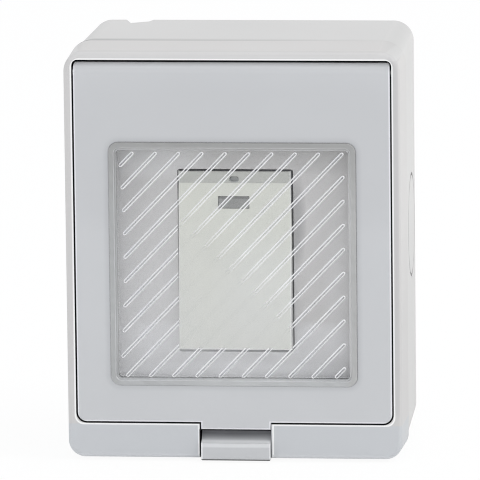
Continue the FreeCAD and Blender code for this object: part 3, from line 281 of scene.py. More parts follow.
def bumpFrom(tree, height, distance, strength, shader):
    bump = tree.nodes.new("ShaderNodeBump")
    bump.inputs["Distance"].default_value = distance
    bump.inputs["Strength"].default_value = strength
    tree.links.new(height, bump.inputs["Height"])
    tree.links.new(bump.outputs["Normal"], shader.inputs["Normal"])


# The strength and the near-black colour of the painted shade where surfaces stand close.
contactShade = {"samples": 12, "openAt": 0.76, "shutAt": 0.42, "share": 0.97, "colour": (0.006, 0.006, 0.008, 1)}
graining = {"bump": 0.00004, "bumpStrength": 0.25}
seamFades = {"top": (56, 60), "across": (50, -40)}
ringFades = {"sideWall": 48.5, "depths": (12, -12), "weakest": 0.35}


def paintedCreviceShade(tree, shade, reach):
    # Painted shade: darkens a colour where another surface stands within reach, as in a narrow joint.
    node = tree.nodes.new("ShaderNodeAmbientOcclusion")
    node.samples = contactShade["samples"]
    node.inputs["Distance"].default_value = reach * mm
    closeness = Sum(tree, node.outputs["AO"]).between(contactShade["openAt"], contactShade["shutAt"]) * contactShade["share"]
    return mixColour(tree, closeness, shade, contactShade["colour"])


def patchShare(tree, patch):
    # How much a place belongs to a patch: a shape in the XZ plane that is an oval at squareness 2 and
    # nearly a box at 8. Its edge fades between two reaches, where 1 is its outline. A patch with a front
    # depth has only what stands before it, and one with a back depth only what lies behind it.
    x, y, z = parts(tree, onObject(tree))
    across = (x - patch["x"] * mm) / (patch["halfWidth"] * mm)
    up = (z - patch["z"] * mm) / (patch["halfHeight"] * mm)
    power = patch["squareness"]
    reach = across.size().step("POWER", power) + up.size().step("POWER", power)
    share = reach.between(*patch["edges"]) * patch["share"]
    if "front" in patch:
        share = share * y.below(-patch["front"] * mm)
    if "back" in patch:
        share = share * y.above(-patch["back"] * mm)
    return share


def paintedEdgeLineShare(tree, rim):
    # A line of painted highlight along an edge, or of painted shade round the membrane's bead.
    return Sum(tree, useGroup(tree, rimGroup, rim["shape"]).outputs["Line"]) * rim["share"]


def seamShadeShare(tree, seam):
    # Painted shade along the line on the top where two mouldings meet, weaker towards the right.
    x, y, z = parts(tree, onObject(tree))
    line = ((y + seam["depth"] * mm).size() / (seam["reach"] * mm)).between(1.0, 0.3)
    onTop = z.between(*(height * mm for height in seamFades["top"]))
    across = x.between(*(side * mm for side in seamFades["across"]))
    return line * onTop * across * seam["share"]


def ringShadeShare(tree, ring):
    # Painted shade of the groove of a round knock-out in the side walls, weaker towards the wall.
    x, y, z = parts(tree, onObject(tree))
    over, up = y + ring["depth"] * mm, z - ring["z"] * mm
    away = ((over * over + up * up).step("SQRT") - ring["radius"] * mm).size() / (ring["reach"] * mm)
    weakest = ringFades["weakest"]
    front = over.between(*(depth * mm for depth in ringFades["depths"])) * (1 - weakest) + weakest
    return away.between(1.0, 0.5) * front * x.size().above(ringFades["sideWall"] * mm) * ring["share"]


def plastic(
    name, colour, roughness=0.5, grain=0.5, coat=0.0, reach=0.8, patches=(), rims=(), seam=None, ring=None,
):
    # reach is how near another surface must stand to paint shade on this one. Patches marked over lie on top
    # of that painted shade.
    material, tree, shader = newMaterial(name)
    surface = useGroup(tree, mouldedGroup, {"Base": linear(*colour), "Grain": grain, "Roughness": roughness})
    marks = [(patchShare(tree, patch), patch) for patch in patches if not patch.get("over")]
    marks += [(paintedEdgeLineShare(tree, rim), rim) for rim in rims]
    if seam:
        marks.append((seamShadeShare(tree, seam), seam))
    if ring:
        marks.append((ringShadeShare(tree, ring), ring))
    shade = surface.outputs["Colour"]
    for share, mark in marks:
        shade = mixColour(tree, share, shade, linear(*mark["colour"]))
    shade = paintedCreviceShade(tree, shade, reach)
    for patch in patches:
        if patch.get("over"):
            shade = mixColour(tree, patchShare(tree, patch), shade, linear(*patch["colour"]))
    tree.links.new(shade, shader.inputs["Base Color"])
    tree.links.new(surface.outputs["Roughness"], shader.inputs["Roughness"])
    shader.inputs["Coat Weight"].default_value = coat
    bumpFrom(tree, surface.outputs["Height"], graining["bump"], graining["bumpStrength"], shader)
    return material


def rimShape(main, tab, width, frontDepth):
    # Each rectangle is (left, right, low, high, corner).
    shape = {"Line Width": width * mm, "Front Y": -frontDepth * mm}
    for titles, (left, right, low, high, corner) in zip(rectangleTitles.values(), (main, tab)):
        numbers = ((left + right) / 2, (low + high) / 2, (right - left) / 2, (high - low) / 2, corner)
        shape.update({title: number * mm for title, number in zip(titles, numbers)})
    return shape


# The lid's outline and its tab, and the opening and notch around them.
lid = {"left": -47.12, "right": 47.12, "low": -50.4, "high": 58.08, "corner": 1.8}
tab = {"left": -10.12, "right": 10.82, "low": -52.5}
joint = {"gap": 0.45, "notchLow": -62.5, "line": 0.2}
edge = joint["line"]
# The lid's and the frame's rims are painted highlights along the edges of the gap between them.
lidHighlightRim = rimShape(
    (lid["left"] + edge, lid["right"] - edge, lid["low"] + edge, 64, lid["corner"]),
    (tab["left"] + edge, tab["right"] - edge, tab["low"] + edge, 0, 0.1),
    width=0.36, frontDepth=64.2,
)
out = joint["gap"] + joint["line"]
frameHighlightRim = rimShape(
    (lid["left"] - out, lid["right"] + out, lid["low"] - out, lid["high"] + out, lid["corner"] + out),
    (tab["left"] - out, tab["right"] + out, joint["notchLow"], 0, 0.1),
    width=0.36, frontDepth=64.0,
)
# Rims of one rectangle; the second one lies inside the first. The bead's halo is painted shade; the latch's
# and the rocker's rims are painted highlights.
beadShadeHalo = rimShape((-36.8, 36.8, -39.2, 33.9, 2.8), (-1, 1, -1, 0, 0.1), width=1.9, frontDepth=64.0)
latchHighlightRim = rimShape((-9.72, 10.72, -80, -40, 0.3), (-1, 1, -80, -60, 0.1), width=0.3, frontDepth=66.0)
rockerHighlightRim = rimShape((-16.75, 16.6, -29.3, 60, 0.5), (-1, 1, -1, 0, 0.1), width=0.3, frontDepth=56.0)

boxPatches = [
    # painted shade on the right wall, darker towards its lower end
    {"x": 50, "z": -75, "halfWidth": 3, "halfHeight": 85, "squareness": 4.0, "edges": (1.0, 0.1),
     "share": 0.15, "colour": (160, 160, 160)},
    # painted shade at the upper right corner
    {"x": 49.5, "z": 64, "halfWidth": 6, "halfHeight": 6, "squareness": 2.0, "edges": (1.0, 0.4),
     "share": 0.24, "colour": (160, 160, 160)},
]
framePatches = [
    # painted shade on the deck over the rocker, painted light on the deck under it, and the bottom border in
    # a darker, bluer grey
    {"x": 0, "z": 33.0, "halfWidth": 37.0, "halfHeight": 9.5, "squareness": 6.0, "edges": (1.2, 0.05),
     "share": 0.26, "colour": (140, 141, 138)},
    {"x": 0, "z": -31.0, "halfWidth": 37.0, "halfHeight": 10.0, "squareness": 6.0, "edges": (1.2, 0.2),
     "share": 0.5, "colour": (236, 236, 237)},
    {"x": 0, "z": -60, "halfWidth": 80, "halfHeight": 9.0, "squareness": 8.0, "edges": (1.2, 0.8),
     "share": 1.0, "colour": (199, 201, 203)},
    # painted shade on the right border, painted light on the top border and painted shade at the upper right
    # corner
    {"x": 48.0, "z": 6, "halfWidth": 1.5, "halfHeight": 54, "squareness": 12.0, "edges": (1.4, 0.6),
     "share": 0.22, "colour": (166, 166, 168)},
    {"x": 0, "z": 59.6, "halfWidth": 60, "halfHeight": 1.3, "squareness": 6.0, "edges": (1.6, 0.4),
     "share": 0.18, "colour": (238, 239, 238)},
    {"x": 49.5, "z": 64, "halfWidth": 6, "halfHeight": 6, "squareness": 2.0, "edges": (1.0, 0.4),
     "share": 0.26, "colour": (160, 160, 160)},
    # the deck: painted shadow of the rocker beside it, and painted light at the upper left, at the right and
    # at its foot
    {"x": 17.9, "z": 9.5, "halfWidth": 3.6, "halfHeight": 16, "squareness": 2.0, "edges": (1.0, 0.1),
     "share": 0.52, "colour": (110, 110, 112)},
    {"x": -24, "z": 28.5, "halfWidth": 17, "halfHeight": 7, "squareness": 2.0, "edges": (1.2, 0.2),
     "share": 0.34, "colour": (250, 250, 250)},
    {"x": 33, "z": -16, "halfWidth": 7, "halfHeight": 34, "squareness": 2.0, "edges": (1.2, 0.2),
     "share": 0.2, "colour": (250, 250, 251)},
    {"x": -6, "z": -36.6, "halfWidth": 40, "halfHeight": 3.4, "squareness": 2.0, "edges": (1.2, 0.2),
     "share": 0.45, "colour": (255, 255, 255)},
    # painted shade on the right wall, darker towards its lower end, and over the whole deck
    {"x": 51.0, "z": -75, "halfWidth": 1.45, "halfHeight": 85, "squareness": 4.0, "edges": (1.0, 0.1),
     "share": 0.22, "colour": (160, 160, 160)},
    {"x": 0, "z": -2.65, "halfWidth": 37.0, "halfHeight": 37.0, "squareness": 8.0, "edges": (1.2, 0.8),
     "share": 0.1, "colour": (140, 140, 140)},
    # painted light on the bottom border's lower edge and a painted shade line under it, left of the notch
    {"x": 0, "z": -61.6, "halfWidth": 60, "halfHeight": 1.7, "squareness": 4.0, "edges": (1.2, 0.3),
     "share": 0.6, "colour": (214, 215, 217), "over": True, "front": 60.0},
    {"x": -13.5, "z": -62.0, "halfWidth": 3.6, "halfHeight": 0.45, "squareness": 4.0, "edges": (1.2, 0.5),
     "share": 0.75, "colour": (50, 50, 54), "over": True, "front": 63.0},
    # painted shade on the notch's left wall, and painted light in the gaps under the rocker and low at its
    # right
    {"x": -10.45, "z": -57.6, "halfWidth": 0.2, "halfHeight": 5.2, "squareness": 8.0, "edges": (1.5, 0.9),
     "share": 0.9, "colour": (8, 8, 9), "over": True},
    {"x": 0.6, "z": -29.8, "halfWidth": 17.5, "halfHeight": 1.0, "squareness": 8.0, "edges": (1.6, 0.4),
     "share": 0.8, "colour": (236, 236, 237), "over": True},
    {"x": 17.6, "z": -16, "halfWidth": 0.6, "halfHeight": 15, "squareness": 4.0, "edges": (1.4, 0.4),
     "share": 0.5, "colour": (205, 205, 206), "over": True},
]
lidPatches = [
    # painted shade on the border over the membrane, a painted highlight along its top edge and painted shade
    # in the joint on top
    {"x": 0, "z": 31.0, "halfWidth": 60, "halfHeight": 24.0, "squareness": 4.0, "edges": (1.3, 0.3),
     "share": 0.1, "colour": (156, 156, 158)},
    {"x": 0, "z": 59.0, "halfWidth": 60, "halfHeight": 2.9, "squareness": 4.0, "edges": (1.4, 0.1),
     "share": 0.2, "colour": (255, 255, 255)},
    {"x": 0, "z": 59.0, "halfWidth": 60, "halfHeight": 1.3, "squareness": 8.0, "edges": (1.6, 0.8),
     "share": 1.0, "colour": (6, 6, 8)},
]
latchPatches = [
    # painted shade in the hollow under the tab, painted light on the fold below it and painted shade along
    # the lower edge
    {"x": 0.35, "z": -52.9, "halfWidth": 30, "halfHeight": 2.25, "squareness": 2.0, "edges": (1.9, 0.3),
     "share": 0.86, "colour": (62, 63, 68)},
    {"x": 0.35, "z": -56.7, "halfWidth": 30, "halfHeight": 1.0, "squareness": 2.0, "edges": (1.2, 0.4),
     "share": 0.3, "colour": (255, 255, 255)},
    {"x": 0.35, "z": -61.65, "halfWidth": 30, "halfHeight": 0.45, "squareness": 8.0, "edges": (1.5, 0.6),
     "share": 0.9, "colour": (30, 30, 32), "over": True, "front": 66.0},
]
rockerPatches = [
    # painted shade on the facet, the middle of the face a little darker and the dimple's floor
    {"x": 0, "z": 22.6, "halfWidth": 20, "halfHeight": 2.0, "squareness": 16.0, "edges": (1.3, 0.5),
     "share": 0.6, "colour": (158, 159, 156)},
    {"x": 3, "z": 5, "halfWidth": 15, "halfHeight": 12, "squareness": 2.4, "edges": (1.3, 0.6),
     "share": 0.13, "colour": (176, 178, 175)},
    {"x": -0.25, "z": 21.55, "halfWidth": 1.5, "halfHeight": 0.8, "squareness": 2.0, "edges": (1.2, 0.8),
     "share": 0.9, "colour": (142, 145, 143), "over": True},
    # painted shade in the gaps on the top wall and the right wall, and the face's lower part
    {"x": 0, "z": 24.8, "halfWidth": 20, "halfHeight": 0.6, "squareness": 8.0, "edges": (1.6, 0.8),
     "share": 1.0, "colour": (3, 3, 4), "back": 57.3},
    {"x": 17.2, "z": 14, "halfWidth": 0.5, "halfHeight": 14, "squareness": 6.0, "edges": (1.4, 0.6),
     "share": 1.0, "colour": (3, 3, 4), "back": 57.3},
    {"x": 17.3, "z": 26, "halfWidth": 0.8, "halfHeight": 52, "squareness": 2.0, "edges": (1.0, 0.3),
     "share": 0.5, "colour": (24, 24, 26), "back": 57.6},
    {"x": 8, "z": -13, "halfWidth": 15, "halfHeight": 20, "squareness": 2.0, "edges": (1.2, 0.1),
     "share": 0.4, "colour": (215, 216, 215)},
    # painted light on the lower part of the right wall and on the lower edge
    {"x": 17.2, "z": -16, "halfWidth": 0.6, "halfHeight": 14, "squareness": 4.0, "edges": (1.4, 0.4),
     "share": 0.5, "colour": (190, 190, 190), "over": True},
    {"x": 0.6, "z": -29.8, "halfWidth": 17.5, "halfHeight": 1.0, "squareness": 8.0, "edges": (1.6, 0.4),
     "share": 0.9, "colour": (246, 246, 242), "over": True},
]
lensPatches = [
    # the upper and the lower edge of the window
    {"x": 0, "z": 16.5, "halfWidth": 8, "halfHeight": 0.7, "squareness": 4.0, "edges": (1.3, 0.2),
     "share": 0.5, "colour": (70, 70, 68)},
    {"x": 0, "z": 12.6, "halfWidth": 8, "halfHeight": 0.6, "squareness": 4.0, "edges": (1.3, 0.2),
     "share": 0.35, "colour": (70, 70, 68)},
]
innerPatches = [
    # painted light on the strip of the mechanism that shows in the gap under the rocker
    {"x": 0.6, "z": -30.6, "halfWidth": 17, "halfHeight": 0.8, "squareness": 8.0, "edges": (1.6, 0.4),
     "share": 0.8, "colour": (206, 206, 208), "over": True},
]

looks = {
    "box_plastic": plastic(
        "boxPlastic", (207, 206, 204), roughness=0.5, patches=boxPatches,
        seam={"depth": 42.2, "reach": 2.2, "share": 0.3, "colour": (120, 120, 122)},
        ring={"depth": 18.0, "z": 2.2, "radius": 15.3, "reach": 0.6, "share": 0.6, "colour": (120, 120, 122)},
    ),
    "frame_plastic": plastic(
        "framePlastic", (205, 203, 201), roughness=0.48, patches=framePatches,
        rims=[{"shape": frameHighlightRim, "share": 0.86, "colour": (255, 255, 252)}],
        seam={"depth": 46.6, "reach": 1.4, "share": 0.68, "colour": (110, 110, 112)},
    ),
    "lid_plastic": plastic(
        "lidPlastic", (201, 202, 203), roughness=0.46, patches=lidPatches,
        rims=[
            {"shape": lidHighlightRim, "share": 0.7, "colour": (252, 252, 255)},
            {"shape": beadShadeHalo, "share": 0.17, "colour": (150, 151, 155)},  # painted shade round the membrane's bead
        ],
    ),
    "latch_plastic": plastic(
        "latchPlastic", (198, 199, 200), roughness=0.46, patches=latchPatches,
        rims=[{"shape": latchHighlightRim, "share": 0.75, "colour": (255, 255, 255)}],
    ),
    "rocker_plastic": plastic(
        "rockerPlastic", (217, 218, 208), roughness=0.3, grain=0.1, coat=0.2, reach=1.0,
        patches=rockerPatches, rims=[{"shape": rockerHighlightRim, "share": 0.5, "colour": (250, 250, 247)}],
    ),
    "lens_plastic": plastic(
        "lensPlastic", (139, 140, 137), roughness=0.25, grain=0.05, coat=0.3, patches=lensPatches,
    ),
    "inner_plastic": plastic("innerPlastic", (84, 85, 88), roughness=0.5, patches=innerPatches),
    "seal_rubber": plastic("sealRubber", (38, 38, 39), roughness=0.75, grain=0.8),
    "resistor_coat": plastic("resistorCoat", (196, 168, 122), roughness=0.4),
}


# Metals, the lamp's glass and the clear membrane

brushing = {"glossWander": 0.16, "darkest": 0.93, "bump": 0.00002, "bumpStrength": 0.2}


def metal(name, colour, roughness, streaks):
    material, tree, shader = newMaterial(name, roughness, 1.0, linear(*colour))
    streak = noise(tree, onObject(tree), streaks, 3.0, 0.6)
    gloss = streak * brushing["glossWander"] + (roughness - brushing["glossWander"] / 2)
    tree.links.new(gloss.value, shader.inputs["Roughness"])
    darker = [part * brushing["darkest"] for part in colour]
    shade = mixColour(tree, streak.between(0.35, 0.65), linear(*colour), linear(*darker))
    tree.links.new(shade, shader.inputs["Base Color"])
    bumpFrom(tree, streak.value, brushing["bump"], brushing["bumpStrength"], shader)
    return material


def lampGlass():
    material, tree, shader = newMaterial("lampGlass", 0.08, 0.0, linear(232, 196, 170))
    shader.inputs["Alpha"].default_value = 0.55
    swirl = noise(tree, onObject(tree), 300.0, 2.0)
    shade = mixColour(tree, swirl, linear(236, 205, 182), linear(222, 170, 140))
    tree.links.new(shade, shader.inputs["Base Color"])
    return material


def veilShare(tree, veil):
    # Where lines on the membrane lose themselves over the white rocker, towards its lower left.
    x, _, z = parts(tree, onObject(tree))
    left, right, low, high = (side * mm for side in veil["box"])
    inside = x.above(left) * x.below(right) * z.above(low) * z.below(high)
    return (x + z).between(veil["none"] * mm, veil["full"] * mm) * inside


clouding = {"size": 26.0, "lightest": 1.06, "fineSize": 1800.0, "bump": 0.00002, "bumpStrength": 0.15}


def clearSoft(name, colour, alpha, roughness, haze, fades=(), passing=0.25, veil=None, glare=None):
    # Soft clear plastic: it clouds what lies behind a little, and light passes it more freely, by the
    # share named passing. Fades change its colour along an axis, and glare thickens it to the lower left.
    material, tree, shader = newMaterial(name, roughness, 0.0, linear(*colour))
    place = onObject(tree)
    cloud = noise(tree, place, clouding["size"], 3.0, 0.5)
    amount = (cloud.between(0.3, 0.7) - 0.5) * haze + alpha
    axes = dict(zip("xyz", parts(tree, place)))
    if glare:
        toLowerLeft = (axes["x"] + axes["z"]).between(glare["none"] * mm, glare["full"] * mm)
        amount = amount + toLowerLeft * glare["more"]
    if veil:
        amount = amount * (veilShare(tree, veil) * -1 + 1)
    seen = Sum(tree, tree.nodes.new("ShaderNodeLightPath").outputs["Is Camera Ray"])
    tree.links.new((amount * (seen * (1 - passing) + passing)).value, shader.inputs["Alpha"])
    lighter = [min(255, part * clouding["lightest"]) for part in colour]
    shade = mixColour(tree, cloud, linear(*colour), linear(*lighter))
    for fade in fades:
        share = axes[fade["axis"]].between(fade["none"] * mm, fade["full"] * mm)
        shade = mixColour(tree, share, shade, linear(*fade["colour"]))
    tree.links.new(shade, shader.inputs["Base Color"])
    fine = noise(tree, place, clouding["fineSize"], 2.0)
    bumpFrom(tree, fine.value, clouding["bump"], clouding["bumpStrength"], shader)
    return material


overRocker = {"box": (-16.4, 17.6, -27.9, 25.0), "none": 4.0, "full": -8.0}
middleOverRocker = {**overRocker, "none": 24.0, "full": 6.0}
membraneLooks = {
    "sheet": clearSoft(
        "membraneSheet", (206, 206, 207), 0.05, 0.3, 0.02, glare={"none": 4.0, "full": -34.0, "more": 0.2},
    ),
    # The bead's fades are painted shade: darker towards its top and a little towards its left.
    "bead": clearSoft("membraneBead", (206, 207, 207), 0.66, 0.25, 0.1, fades=[
        {"axis": "x", "none": -33.0, "full": -35.0, "colour": (199, 200, 199)},
        {"axis": "x", "none": 33.0, "full": 35.0, "colour": (206, 206, 204)},
        {"axis": "z", "none": 10.0, "full": 32.5, "colour": (182, 182, 180)},
    ]),
    # The bead's walls are whiter: painted highlight.
    "step": clearSoft("membraneStep", (228, 229, 232), 0.6, 0.2, 0.05),
    "ribTop": clearSoft("ribTop", (150, 151, 153), 0.17, 0.3, 0.05, passing=0.0, veil=middleOverRocker),
    # The ribs' edges are pure white: painted highlight, faded by the veil over the rocker.
    "ribEdgeHighlight": clearSoft("ribEdgeHighlight", (255, 255, 255), 1.0, 0.5, 0.0, passing=0.0, veil=overRocker),
}
looks.update({
    "steel": metal("zincedSteel", (196, 198, 200), 0.34, 900.0),
    "spring_steel": metal("springSteel", (176, 178, 182), 0.28, 1600.0),
    "brass": metal("plainBrass", (206, 172, 98), 0.32, 700.0),
    "lamp_glass": lampGlass(),
    "clear_membrane": membraneLooks["sheet"],
})

slotNames = {entry["node"]: entry["material_slot"] for entry in frame["record"]["subparts"]}
for name, node in nodes.items():
    for slot in node.material_slots:
        slot.material = looks[slotNames[name]]
print("materials made:", len(bpy.data.materials))


# Mesh helpers

meshing = {"samePlace": 1e-7, "sharpAngle": 32}


def cleanMesh(mesh, turnOutwards):
    # Merges corners at the same place, and turns the faces of a closed mesh outwards where asked.
    work = bmesh.new()
    work.from_mesh(mesh)
    bmesh.ops.remove_doubles(work, verts=work.verts, dist=meshing["samePlace"])
    if turnOutwards:
        bmesh.ops.recalc_face_normals(work, faces=work.faces)
    work.to_mesh(mesh)
    work.free()


def smoothButSharp(mesh):
    mesh.shade_smooth()
    mesh.set_sharp_from_angle(angle=math.radians(meshing["sharpAngle"]))


# Membrane: bead and thin sheet

membrane = {
    "centre": (0.0, -2.65),
    "bead": (36.8, 36.55), "beadCorner": 2.8, "beadDepths": (65.0, 66.0), "beadRound": 0.45,
    "field": (34.5, 34.25), "fieldCorner": 1.0, "stepWide": 0.6, "stepDeep": 0.35,
    "lowWallLean": (0.12, 0.22), "lowWallTurn": 0.1, "highWallLean": (0.08, 0.2), "highWallTurn": 0.12,
    "sheetDepths": (63.6, 64.6),
    "neckInset": 1.4, "lipOut": 0.4, "lipDepths": (61.6, 62.8),
    "cornerSteps": 8, "roundSteps": 4, "sharpest": 0.02,
}


def roundedLoop(centre, half, corner, depth, steps):
    # Points of a rounded rectangle, anticlockwise as seen from the front.
    points = []
    corner = max(corner, membrane["sharpest"])
    for quarter, (sideX, sideZ) in enumerate(((1, -1), (1, 1), (-1, 1), (-1, -1))):
        cx = centre[0] + sideX * (half[0] - corner)
        cz = centre[1] + sideZ * (half[1] - corner)
        for i in range(steps + 1):
            angle = (quarter - 1 + i / steps) * math.pi / 2
            x, z = cx + corner * math.cos(angle), cz + corner * math.sin(angle)
            points.append(Vector((x, -depth, z)) * mm)
    return points


def loftMesh(name, loops, slots, materials):
    # Joins each loop to the next; the first and the last are closed with a face. One slot per strip,
    # with the two closing faces first and last.
    mesh = bpy.data.meshes.new(name)
    work = bmesh.new()
    rings = [[work.verts.new(point) for point in loop] for loop in loops]
    count = len(rings[0])
    work.faces.new(rings[0]).material_index = slots[0]
    for strip, (a, b) in enumerate(zip(rings, rings[1:]), start=1):
        for i in range(count):
            j = (i + 1) % count
            work.faces.new((a[i], a[j], b[j], b[i])).material_index = slots[strip]
    work.faces.new(rings[-1]).material_index = slots[-1]
    work.to_mesh(mesh)
    work.free()
    cleanMesh(mesh, turnOutwards=True)
    for material in materials:
        mesh.materials.append(material)
    smoothButSharp(mesh)
    return linked(name, mesh)


def makeMembrane():
    m = membrane
    sheetSlot, beadSlot, stepSlot = range(3)
    loops, slots = [], [sheetSlot]

    def strip(slot, half, inset, corner, depth):
        size = (half[0] - inset, half[1] - inset)
        loops.append(roundedLoop(m["centre"], size, corner, depth, m["cornerSteps"]))
        slots.append(slot)

    bead, field = m["bead"], m["field"]
    low, high = m["beadDepths"]
    sheetRear, sheetFront = m["sheetDepths"]
    lipRear, lipFront = m["lipDepths"]
    cut, turn = m["beadCorner"], m["beadRound"]
    step, fieldCut, ledge = m["stepWide"], m["fieldCorner"], high - m["stepDeep"]
    # From the sheet over the low wall, the ledge and the high wall to the bead's face.
    strip(beadSlot, field, 0.0, fieldCut, sheetFront)
    strip(stepSlot, field, -m["lowWallLean"][0], fieldCut, ledge - m["lowWallTurn"])
    strip(beadSlot, field, -m["lowWallLean"][1], fieldCut, ledge)
    strip(beadSlot, field, -step, fieldCut + step, ledge)
    strip(stepSlot, field, -step - m["highWallLean"][0], fieldCut + step, high - m["highWallTurn"])
    strip(beadSlot, field, -step - m["highWallLean"][1], fieldCut + step, high)
    # Round the bead's outer edge, down its neck and over the lip behind it to the sheet's rear.
    for i in range(m["roundSteps"] + 1):
        angle = i / m["roundSteps"] * math.pi / 2
        inset = turn * (1 - math.sin(angle))
        strip(beadSlot, bead, inset, cut - inset, high - turn * (1 - math.cos(angle)))
    strip(beadSlot, bead, 0.0, cut, low)
    strip(beadSlot, bead, m["neckInset"], cut - m["neckInset"], low)
    strip(beadSlot, bead, m["neckInset"], cut - m["neckInset"], lipFront)
    strip(beadSlot, bead, -m["lipOut"], cut, lipFront)
    strip(beadSlot, bead, -m["lipOut"], cut, lipRear)
    strip(beadSlot, field, 0.0, fieldCut, lipRear)
    strip(sheetSlot, field, 0.0, fieldCut, sheetRear)
    materials = [membraneLooks[part] for part in ("sheet", "bead", "step")]
    piece = loftMesh("membraneSkin", loops, slots, materials)
    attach(piece, "lid")
    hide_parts("membrane")


makeMembrane()
print("membrane made")


# Membrane: slanting ribs

ribs = {
    "Count": 19, "Pitch": 6.945, "Slope": math.tan(math.radians(46)), "Left": -34.1, "Right": 33.3,
    "Low": -36.75, "High": 30.95, "Middle X": 0.51, "Middle Z": -2.75, "Depth": 64.6,
    "Rib Width": 1.15, "Rib Height": 0.45, "Edge Width": 0.34, "Sink": 0.05, "Left Bow": 1.5,
}
ribGrid = {"along": 16, "across": 7, "cap": 4, "crownShare": 0.4, "flatFrom": 0.93, "samePlace": 2e-6}


def geometryTree(name, inputs):
    tree = bpy.data.node_groups.new(name, "GeometryNodeTree")
    kinds = {
        "number": "NodeSocketFloat", "whole": "NodeSocketInt", "material": "NodeSocketMaterial",
        "geometry": "NodeSocketGeometry",
    }
    for title, kind in inputs:
        tree.interface.new_socket(title, in_out="INPUT", socket_type=kinds[kind])
    tree.interface.new_socket("Geometry", in_out="OUTPUT", socket_type=kinds["geometry"])
    source, target = tree.nodes.new("NodeGroupInput"), tree.nodes.new("NodeGroupOutput")
    value = {socket.name: Sum(tree, socket) for socket in source.outputs if socket.name}
    return tree, value, target


def chain(tree, kind, geometry, links=(), **settings):
    # Adds a geometry node after the given geometry and returns its first output.
    node = tree.nodes.new(kind)
    for title, setting in settings.items():
        setattr(node, title, setting)
    if geometry is not None:
        tree.links.new(geometry, node.inputs[0])
    for title, term in dict(links).items():
        term = term.value if isinstance(term, Sum) else term
        if isinstance(term, (bool, int, float)):
            node.inputs[title].default_value = term
        else:
            tree.links.new(term, node.inputs[title])
    return node.outputs[0]


def buildRibTree():
    numbers = [(title, "whole" if title == "Count" else "number") for title in ribs]
    tree, value, target = geometryTree("membraneRibs", [
        ("Geometry", "geometry"), *numbers, ("Rib Top", "material"), ("Rib Edge", "material"),
    ])
    along, across, cap = ribGrid["along"], ribGrid["across"], ribGrid["cap"]
    rows = value["Count"] * across
    grid = chain(tree, "GeometryNodeMeshGrid", None, {
        "Size X": 1.0, "Size Y": 1.0, "Vertices X": along, "Vertices Y": rows,
    })
    # Each point knows its rib, its place along the rib and its place round the rib's section. The
    # quarter keeps a row that is a hair under its whole number on its own rib.
    x, y, _ = parts(tree, tree.nodes.new("GeometryNodeInputPosition").outputs[0])
    alongIndex = ((x + 0.5) * (along - 1)).step("ROUND")
    rowNumber = (y + 0.5) * (rows - 1)
    ribIndex = ((rowNumber + 0.25) / across).step("FLOOR")
    sectionIndex = rowNumber - ribIndex * across
    betweenRibs = sectionIndex.above(across - 0.9)
    apart = chain(tree, "GeometryNodeDeleteGeometry", grid, {"Selection": betweenRibs}, domain="FACE")

    # Where the rib's middle line starts and how far it runs.
    slope = value["Slope"]
    crossing = value["Middle X"] + (ribIndex - (value["Count"] - 1) * 0.5) * value["Pitch"]
    lowX = crossing + (value["Low"] - value["Middle Z"]) / slope
    highX = crossing + (value["High"] - value["Middle Z"]) / slope
    startX = value["Left"].largest(lowX)
    endX = value["Right"].smallest(highX)
    startZ = value["Middle Z"] + (startX - crossing) * slope
    share = (startZ - value["Low"]) / (value["High"] - value["Low"]) * 2 - 1
    startX = startX + (share * share * -1 + 1) * value["Left Bow"] * lowX.below(value["Left"])
    startZ = value["Middle Z"] + (startX - crossing) * slope
    stretch = (slope * slope + 1).step("SQRT")
    length = (endX - startX) * stretch

    # Along the rib: round caps at both ends and even steps between them.
    radius = value["Rib Width"] * 0.5
    fromEnd = alongIndex.smallest(alongIndex * -1 + (along - 1))
    turn = (fromEnd / cap).smallest(1.0) * (math.pi / 2)
    fullness = turn.step("SINE")
    capRun = (turn.step("COSINE") * -1 + 1) * radius
    middleRun = (fromEnd - cap).largest(0.0) / (along / 2 - cap) * (length * 0.5 - radius)
    run = capRun + middleRun
    farSide = alongIndex.above(along / 2 - 0.5)
    distance = run + farSide * (length - run * 2)

    # Round the section: foot, shoulder and crown on each side, and the first foot again to close it.
    level = sectionIndex.step("ROUND")
    fromSide = level.smallest(level * -1 + (across - 2))
    isFoot = fromSide.below(0.5)
    isShoulder = (fromSide - 1).size().below(0.5)
    wrap = level.above(across - 1.5)
    shoulderReach = radius - value["Edge Width"]
    crownReach = shoulderReach * ribGrid["crownShare"]
    reach = isFoot * radius + isShoulder * shoulderReach + (isFoot + isShoulder).below(0.5) * crownReach
    side = (level.above((across - 2) / 2) * 2 - 1) * (wrap * -2 + 1)
    offset = (reach + wrap * (radius - reach)) * side * fullness
    foot = (isFoot + wrap).smallest(1.0)
    height = (foot * -1 + 1) * value["Rib Height"] * fullness - value["Sink"]

    placeX = startX + (distance - offset * slope) / stretch
    placeZ = startZ + (distance * slope + offset) / stretch
    placeY = (value["Depth"] + height) * -1
    position = joinVector(tree, placeX * mm, placeY * mm, placeZ * mm)
    placed = chain(tree, "GeometryNodeSetPosition", apart, {"Position": position})
    merged = chain(tree, "GeometryNodeMergeByDistance", placed, {"Distance": ribGrid["samePlace"]})
    flat = chain(tree, "GeometryNodeSetShadeSmooth", merged, {"Shade Smooth": False})
    whole = chain(tree, "GeometryNodeRealizeInstances", flat)
    _, normalY, _ = parts(tree, tree.nodes.new("GeometryNodeInputNormal").outputs[0])
    topped = chain(tree, "GeometryNodeSetMaterial", whole, {"Material": value["Rib Top"]})
    edged = chain(tree, "GeometryNodeSetMaterial", topped, {
        "Selection": normalY.size().below(ribGrid["flatFrom"]), "Material": value["Rib Edge"],
    })
    tree.links.new(edged, target.inputs[0])
    return tree


